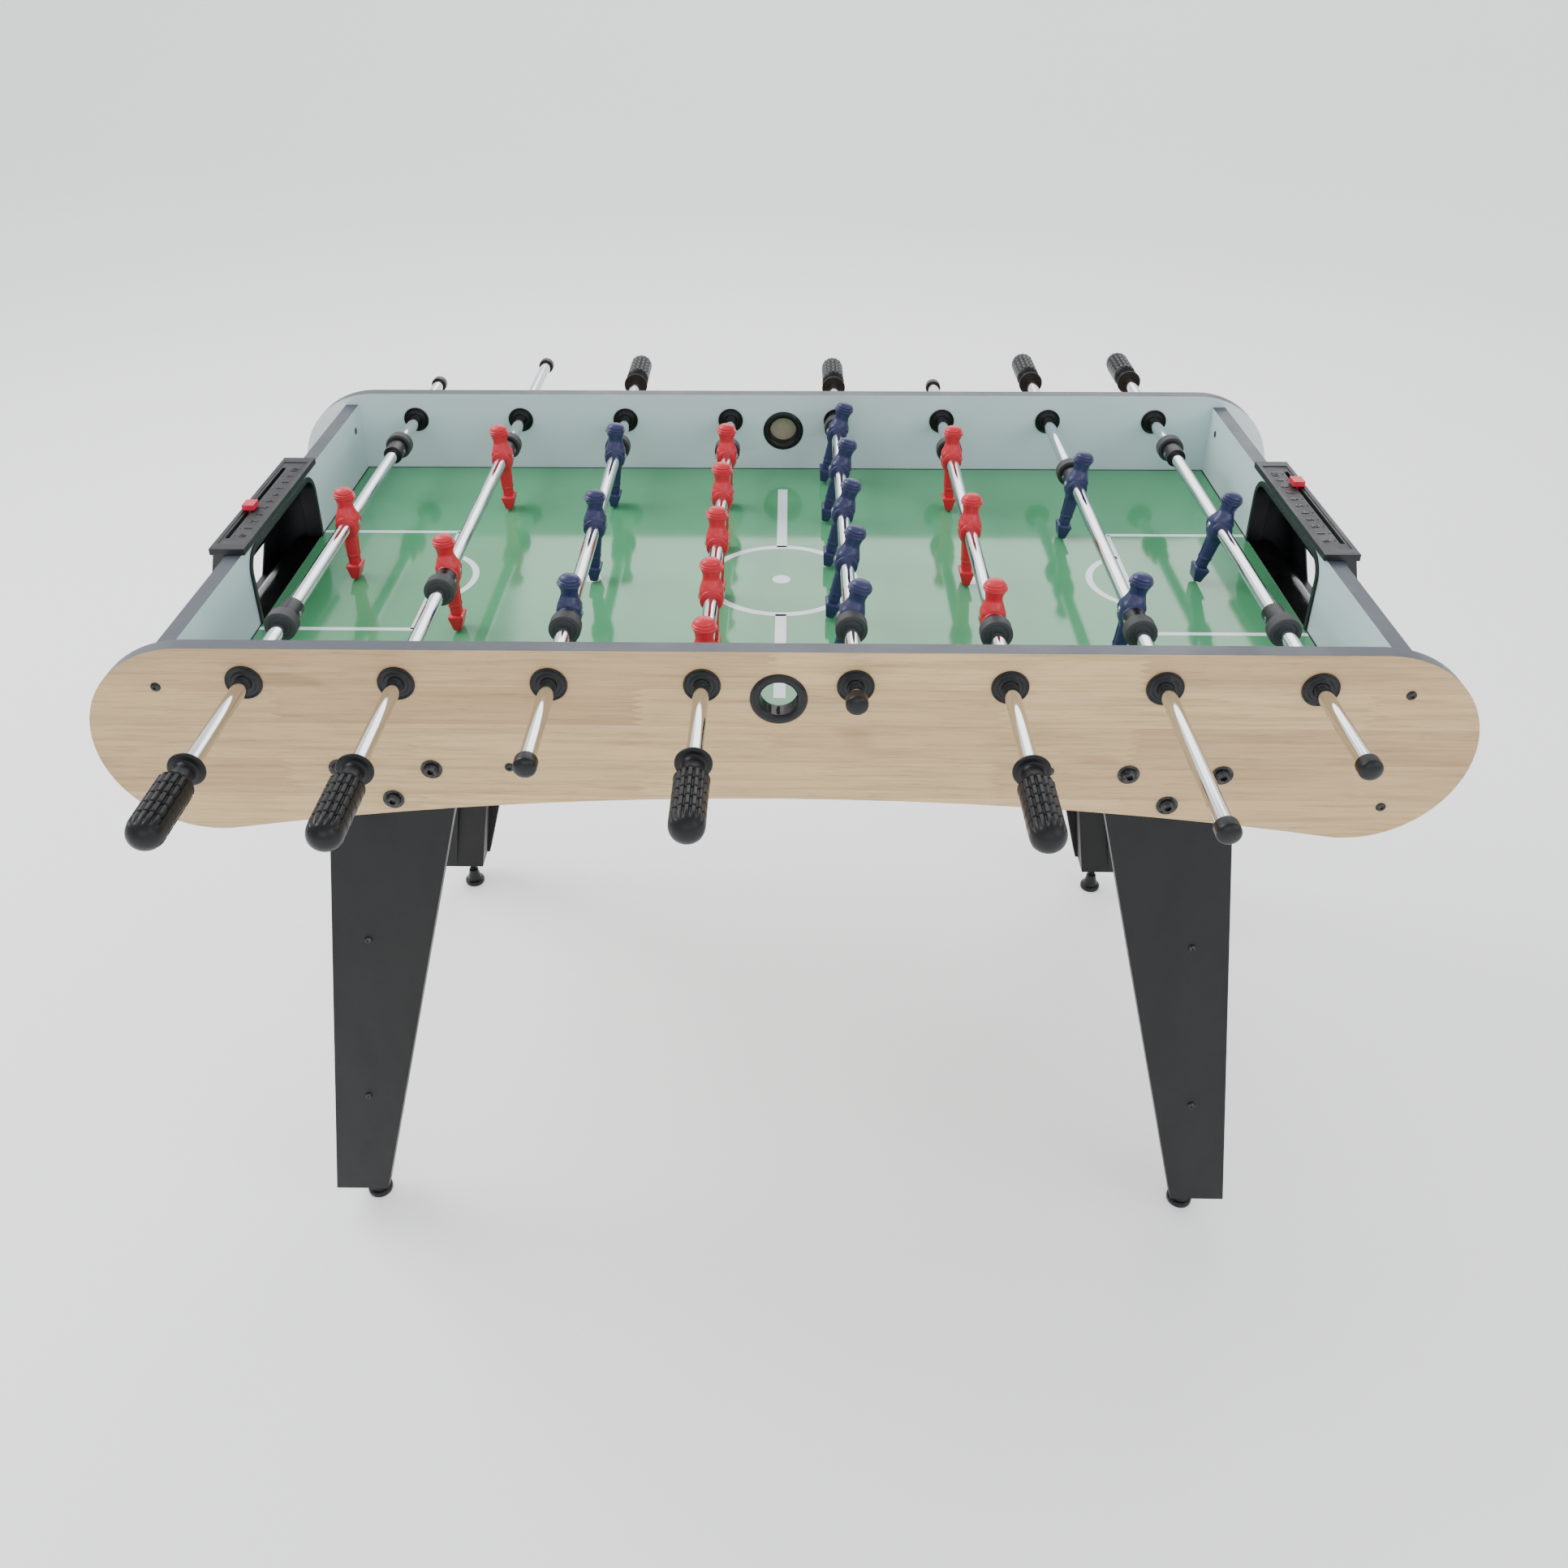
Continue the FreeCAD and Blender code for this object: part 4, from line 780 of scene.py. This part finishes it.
def handleSurface(x, seat, side):
    neckEnd, body, length, dome = grip["neckEnd"], grip["body"], grip["length"], grip["dome"]
    head = soften([(0, 8.0), (0, grip["flange"] - 0.8), (1.2, grip["flange"]), (3.2, grip["flange"] - 0.3),
                   (4.0, grip["flange"] - 2.5), (4.6, grip["neck"] + 1.2), (8, grip["neck"]),
                   (neckEnd - 3, grip["neck"] + 0.5), (neckEnd, body - 2.2), (neckEnd + 3, body)], 1.2, 4)
    straight = [(a, body) for a in np.linspace(neckEnd + 3.2, length - dome, 110)]
    tipCurve = [(length - dome + dome * math.sin(t), body * math.cos(t) ** 0.9)
              for t in np.linspace(0.05, math.pi / 2 - 0.02, 30)] + [(length, 0)]
    profile = [(a, r) for a, r in head] + straight + tipCurve
    vertices, faces = lathe(profile, (0, 0, 0), 176, 1, gripRadius)
    moved = vertices * np.array([1, side, 1]) + np.array([x, seat, axisHeight])
    return moved, faces


for number in range(1, 9):
    side = -1 if number in nearTeam else 1
    low, high = [corner[1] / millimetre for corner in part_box(f"rod_{number}_handle")]
    seat = low if side > 0 else high
    piece(f"rod_{number}_grip", [handleSurface(rodX[number], seat, side)], blackGrip,
          f"rod_{number}_assembly", 60, replaced=(f"rod_{number}_handle",))
print("handles made")


rail = {"numerals": 11, "numeralSize": 12, "relief": 0.9, "halfRun": 96,
        "numeralX": 615, "dotX": 624.5}


# A numeral as a mesh, from the built-in typeface.
def numeral(text, size, depth):
    curve = bpy.data.curves.new("numeral_" + text, "FONT")
    curve.body = text
    curve.size = size * millimetre
    curve.extrude = depth / 2 * millimetre
    curve.bevel_depth = 0.15 * millimetre
    curve.align_x = "CENTER"
    curve.align_y = "CENTER"
    item = bpy.data.objects.new("numeral_" + text, curve)
    bpy.context.scene.collection.objects.link(item)
    mesh = bpy.data.meshes.new_from_object(item.evaluated_get(bpy.context.evaluated_depsgraph_get()))
    bpy.data.objects.remove(item)
    return mesh


# The raised numbers 0 to 10 along a score rail, read from the table's near side.
def numerals(side, top):
    work = bmesh.new()
    x = rail["numeralX"] * side
    for step in range(rail["numerals"]):
        mesh = numeral(str(step), rail["numeralSize"], rail["relief"])
        y = -rail["halfRun"] + step * 2 * rail["halfRun"] / (rail["numerals"] - 1)
        turn = Matrix.Rotation(-math.pi / 2 * side, 4, "Z")
        mesh.transform(Matrix.Translation(Vector((x, y, top)) * millimetre) @ turn)
        work.from_mesh(mesh)
        bpy.data.meshes.remove(mesh)
    mesh = bpy.data.meshes.new("numerals")
    work.to_mesh(mesh)
    work.free()
    return mesh


dotProfile = [(-0.2, 0), (-0.2, 1.3), (0.3, 1.1), (0.6, 0.5), (0.65, 0)]
for hand, side in (("left", -1), ("right", 1)):
    rounded(f"{hand}_goal", railPlastic, 0.8)
    rounded(f"{hand}_score_marker", redMarker, 3.0)
    low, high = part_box(f"{hand}_goal")
    sunk = high[2] / millimetre - 1.2
    mesh = numerals(side, sunk + 0.1)
    publish(f"{hand}_rail_numerals", mesh, glossyPlastic, "table", 30, 0, ())
    dots = []
    for step in range(rail["numerals"]):
        y = -rail["halfRun"] + step * 2 * rail["halfRun"] / (rail["numerals"] - 1)
        dots.append(lathe([(sunk + a, r) for a, r in dotProfile], (side * rail["dotX"], y, 0), 16, 2))
    piece(f"{hand}_rail_dots", dots, glossyPlastic, "table", 40)

rampLook = {"half": 115.2, "thickness": 0.8, "sill": 18, "fall": 28}


# Floor of a goal: level over the end panel's sill, then a quarter curve down to the hood's floor.
def ballRamp(side):
    turn = np.linspace(0, math.pi / 2, 18)
    edge, fall = rampLook["sill"], rampLook["fall"]
    sill = [(-0.5, 0), (edge, 0)]
    curve = [(edge + fall * math.sin(t), -fall * (1 - math.cos(t))) for t in turn]
    outline = np.array(sill + curve[1:])
    half, thick = rampLook["half"], rampLook["thickness"]
    grid = np.zeros((len(outline), 4, 3))
    grid[..., 0] = side * (fieldHigh[0] + outline[:, :1])
    grid[..., 1] = np.array([-half, half, half, -half])
    grid[..., 2] = surfaceHeight + 0.1 + outline[:, 1:] + np.array([0, 0, thick, thick])
    first = np.repeat(grid[:1].mean(axis=1, keepdims=True), 4, axis=1)
    last = np.repeat(grid[-1:].mean(axis=1, keepdims=True), 4, axis=1)
    return strip(np.concatenate([first, grid, last]), True)


for hand, side in (("left", -1), ("right", 1)):
    piece(f"{hand}_goal_floor", [ballRamp(side)], glossyPlastic, "table", 40)
print("goals made")


for row in ("front", "back"):
    for hand in ("left", "right"):
        node = f"{row}_{hand}_foot"
        x, y, z = middle(node)
        low, high = [corner[2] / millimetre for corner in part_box(node)]
        profile = [(0, 0), (0, 14.5), (1.2, 15.8), (6.5, 15.8), (8.2, 14.6), (9.5, 11.5), (14, 10.2),
                   (20, 8.6), (27, 7.6), (28, 6.8), (28.4, 5.2)]
        thread = [(28.4 + i * 0.5, 5.0 - 0.45 * (i % 2)) for i in range(1, int((high - 28.4) / 0.5))]
        outline = soften(profile, 1.2) + thread + [(high, 4.4), (high, 0)]
        piece(f"{node}_adjuster", [lathe([(low + a, r) if a < high else (high, r) for a, r in outline],
                                         (x, y, 0), 40, 2)],
              blackPlastic, bodyOf[node], 45, replaced=(node,))

bolts = {"large": [(353, 140), (397, 178), (447, 140)], "screws": [(614, 44), (614, 178), (273, 137)],
         "top": 855}


# Flat round bolt head with a washer and a hexagon socket.
def hexHead(x, z, face, out):
    def socket(along, radius, angle):
        hexagon = 3.4 * math.cos(math.pi / 6) / np.cos(np.mod(angle, math.pi / 3) - math.pi / 6)
        return np.where(radius < 3.5, np.minimum(radius, hexagon), radius)
    washer = [(0, 4), (0, 10.6), (out * 0.5, 11), (out * 1.2, 11), (out * 1.6, 10.5), (out * 1.6, 4),
              (0, 4)]
    head = [(out * 1.6, 0), (out * 1.6, 7.4), (out * 2.6, 7.8), (out * 4.6, 7.3), (out * 6.3, 5.6),
            (out * 6.4, 3.4), (out * 3.4, 3.3), (out * 3.4, 0)]
    return [lathe([(face + a, r) for a, r in washer], (x, 0, z), 40),
            lathe([(face + a, r) for a, r in head], (x, 0, z), 48, 1, socket)]


# Pan head with a round drive recess.
def screwHead(x, z, face, out, radius=5.0):
    profile = [(0, 0), (0, radius), (out * 1.1, radius - 0.2), (out * 2.4, radius * 0.72),
               (out * 2.9, radius * 0.42),
               (out * 2.9, radius * 0.3), (out * 1.6, radius * 0.22), (out * 1.5, 0)]
    return [lathe([(face + a, r) for a, r in profile], (x, 0, z), 32)]


heads = []
for face, out in ((nearFace, -1), (farFace, 1)):
    for end in (-1, 1):
        for x, drop in bolts["large"]:
            heads += hexHead(end * x, bolts["top"] - drop, face, out)
        for x, drop in bolts["screws"]:
            heads += screwHead(end * x, bolts["top"] - drop, face, out)
legEdge = {"x": 461, "drop": 120, "lean": 102 / 687, "inset": 41, "screwDrops": (387, 637)}
for face, out in ((nearInner, -1), (farInner, 1)):
    for end in (-1, 1):
        for drop in legEdge["screwDrops"]:
            x = legEdge["x"] + legEdge["lean"] * (drop - legEdge["drop"]) - legEdge["inset"]
            heads += screwHead(end * x, bolts["top"] - drop, face, out, 4.4)
piece("visible_fasteners", heads, blackSteel, "table", 35, replaced=("fasteners",))
print("fasteners made")


def stagePiece(name, points, faces, material):
    mesh = bpy.data.meshes.new(name)
    mesh.from_pydata(points, [], faces)
    mesh.materials.append(material)
    item = bpy.data.objects.new(name, mesh)
    bpy.context.scene.collection.objects.link(item)


def studioFloor():
    material, tree, shader, where = startMaterial("studio_floor")
    haze = add(tree, "TexNoise", where, 1000 / 900, 2, 0.55)
    feed(tree, shader, {
        "Base Color": add(tree, "Mix", haze, linear("FBFBFB"), linear("F6F6F6")),
        "Roughness": 0.9, "Specular IOR Level": 0.2, "Emission Color": linear("FFFFFF"),
        "Emission Strength": 0.42})
    reach, turnUp = 9.0, 5.0
    angles = np.linspace(0, math.pi / 2, 16)
    bend = [(turnUp + 2 * math.sin(a), 2 - 2 * math.cos(a)) for a in angles]
    profile = [(-reach, 0.0)] + bend + [(7.0, 9.0)]
    points = [(side, y, z) for y, z in profile for side in (-reach, reach)]
    faces = [(2 * i, 2 * i + 1, 2 * i + 3, 2 * i + 2) for i in range(len(profile) - 1)]
    stagePiece("studio_backdrop", points, faces, material)


def softbox(name, position, target, size, power, colour="FFFFFF"):
    light = bpy.data.lights.new(name, "AREA")
    light.shape = "RECTANGLE"
    light.size, light.size_y = size
    light.energy = power
    light.color = linear(colour)[:3]
    item = bpy.data.objects.new(name, light)
    item.location = position
    item.rotation_euler = (Vector(target) - Vector(position)).to_track_quat("-Z", "Y").to_euler()
    bpy.context.scene.collection.objects.link(item)


studioFloor()
softbox("key", (-2.6, 0.9, 3.4), (0, 0, 0.7), (2.2, 2.2), 110)
softbox("fill", (2.8, -2.2, 2.4), (0, 0, 0.6), (2.4, 2.0), 34, "F6F9FF")
softbox("back", (0.5, 3.4, 2.9), (0, 0.2, 0.8), (3.4, 1.8), 44)
softbox("front", (0.0, -4.2, 2.2), (0, 0, 0.6), (3.0, 1.6), 30)
world = bpy.data.worlds.new("studio")
bpy.context.scene.world = world
world.use_nodes = True
world.node_tree.nodes["Background"].inputs["Color"].default_value = linear("F3F6FA")
world.node_tree.nodes["Background"].inputs["Strength"].default_value = 0.98

cameraLook = {"place": (0.0087, -1.5118, 1.5222), "pitch": 30.62, "yaw": 1.12, "roll": -0.20,
              "lens": 31.6, "shift": (0.0123, -0.0787)}
camera = bpy.data.objects.new("camera", bpy.data.cameras.new("camera"))
camera.data.lens = cameraLook["lens"]
camera.data.sensor_width = 36
camera.data.shift_x, camera.data.shift_y = cameraLook["shift"]
camera.data.clip_end = 60
camera.matrix_world = (Matrix.Translation(cameraLook["place"])
                       @ Matrix.Rotation(math.radians(cameraLook["yaw"]), 4, "Z")
                       @ Matrix.Rotation(math.radians(90 - cameraLook["pitch"]), 4, "X")
                       @ Matrix.Rotation(math.radians(cameraLook["roll"]), 4, "Z"))
bpy.context.scene.collection.objects.link(camera)
bpy.context.scene.camera = camera
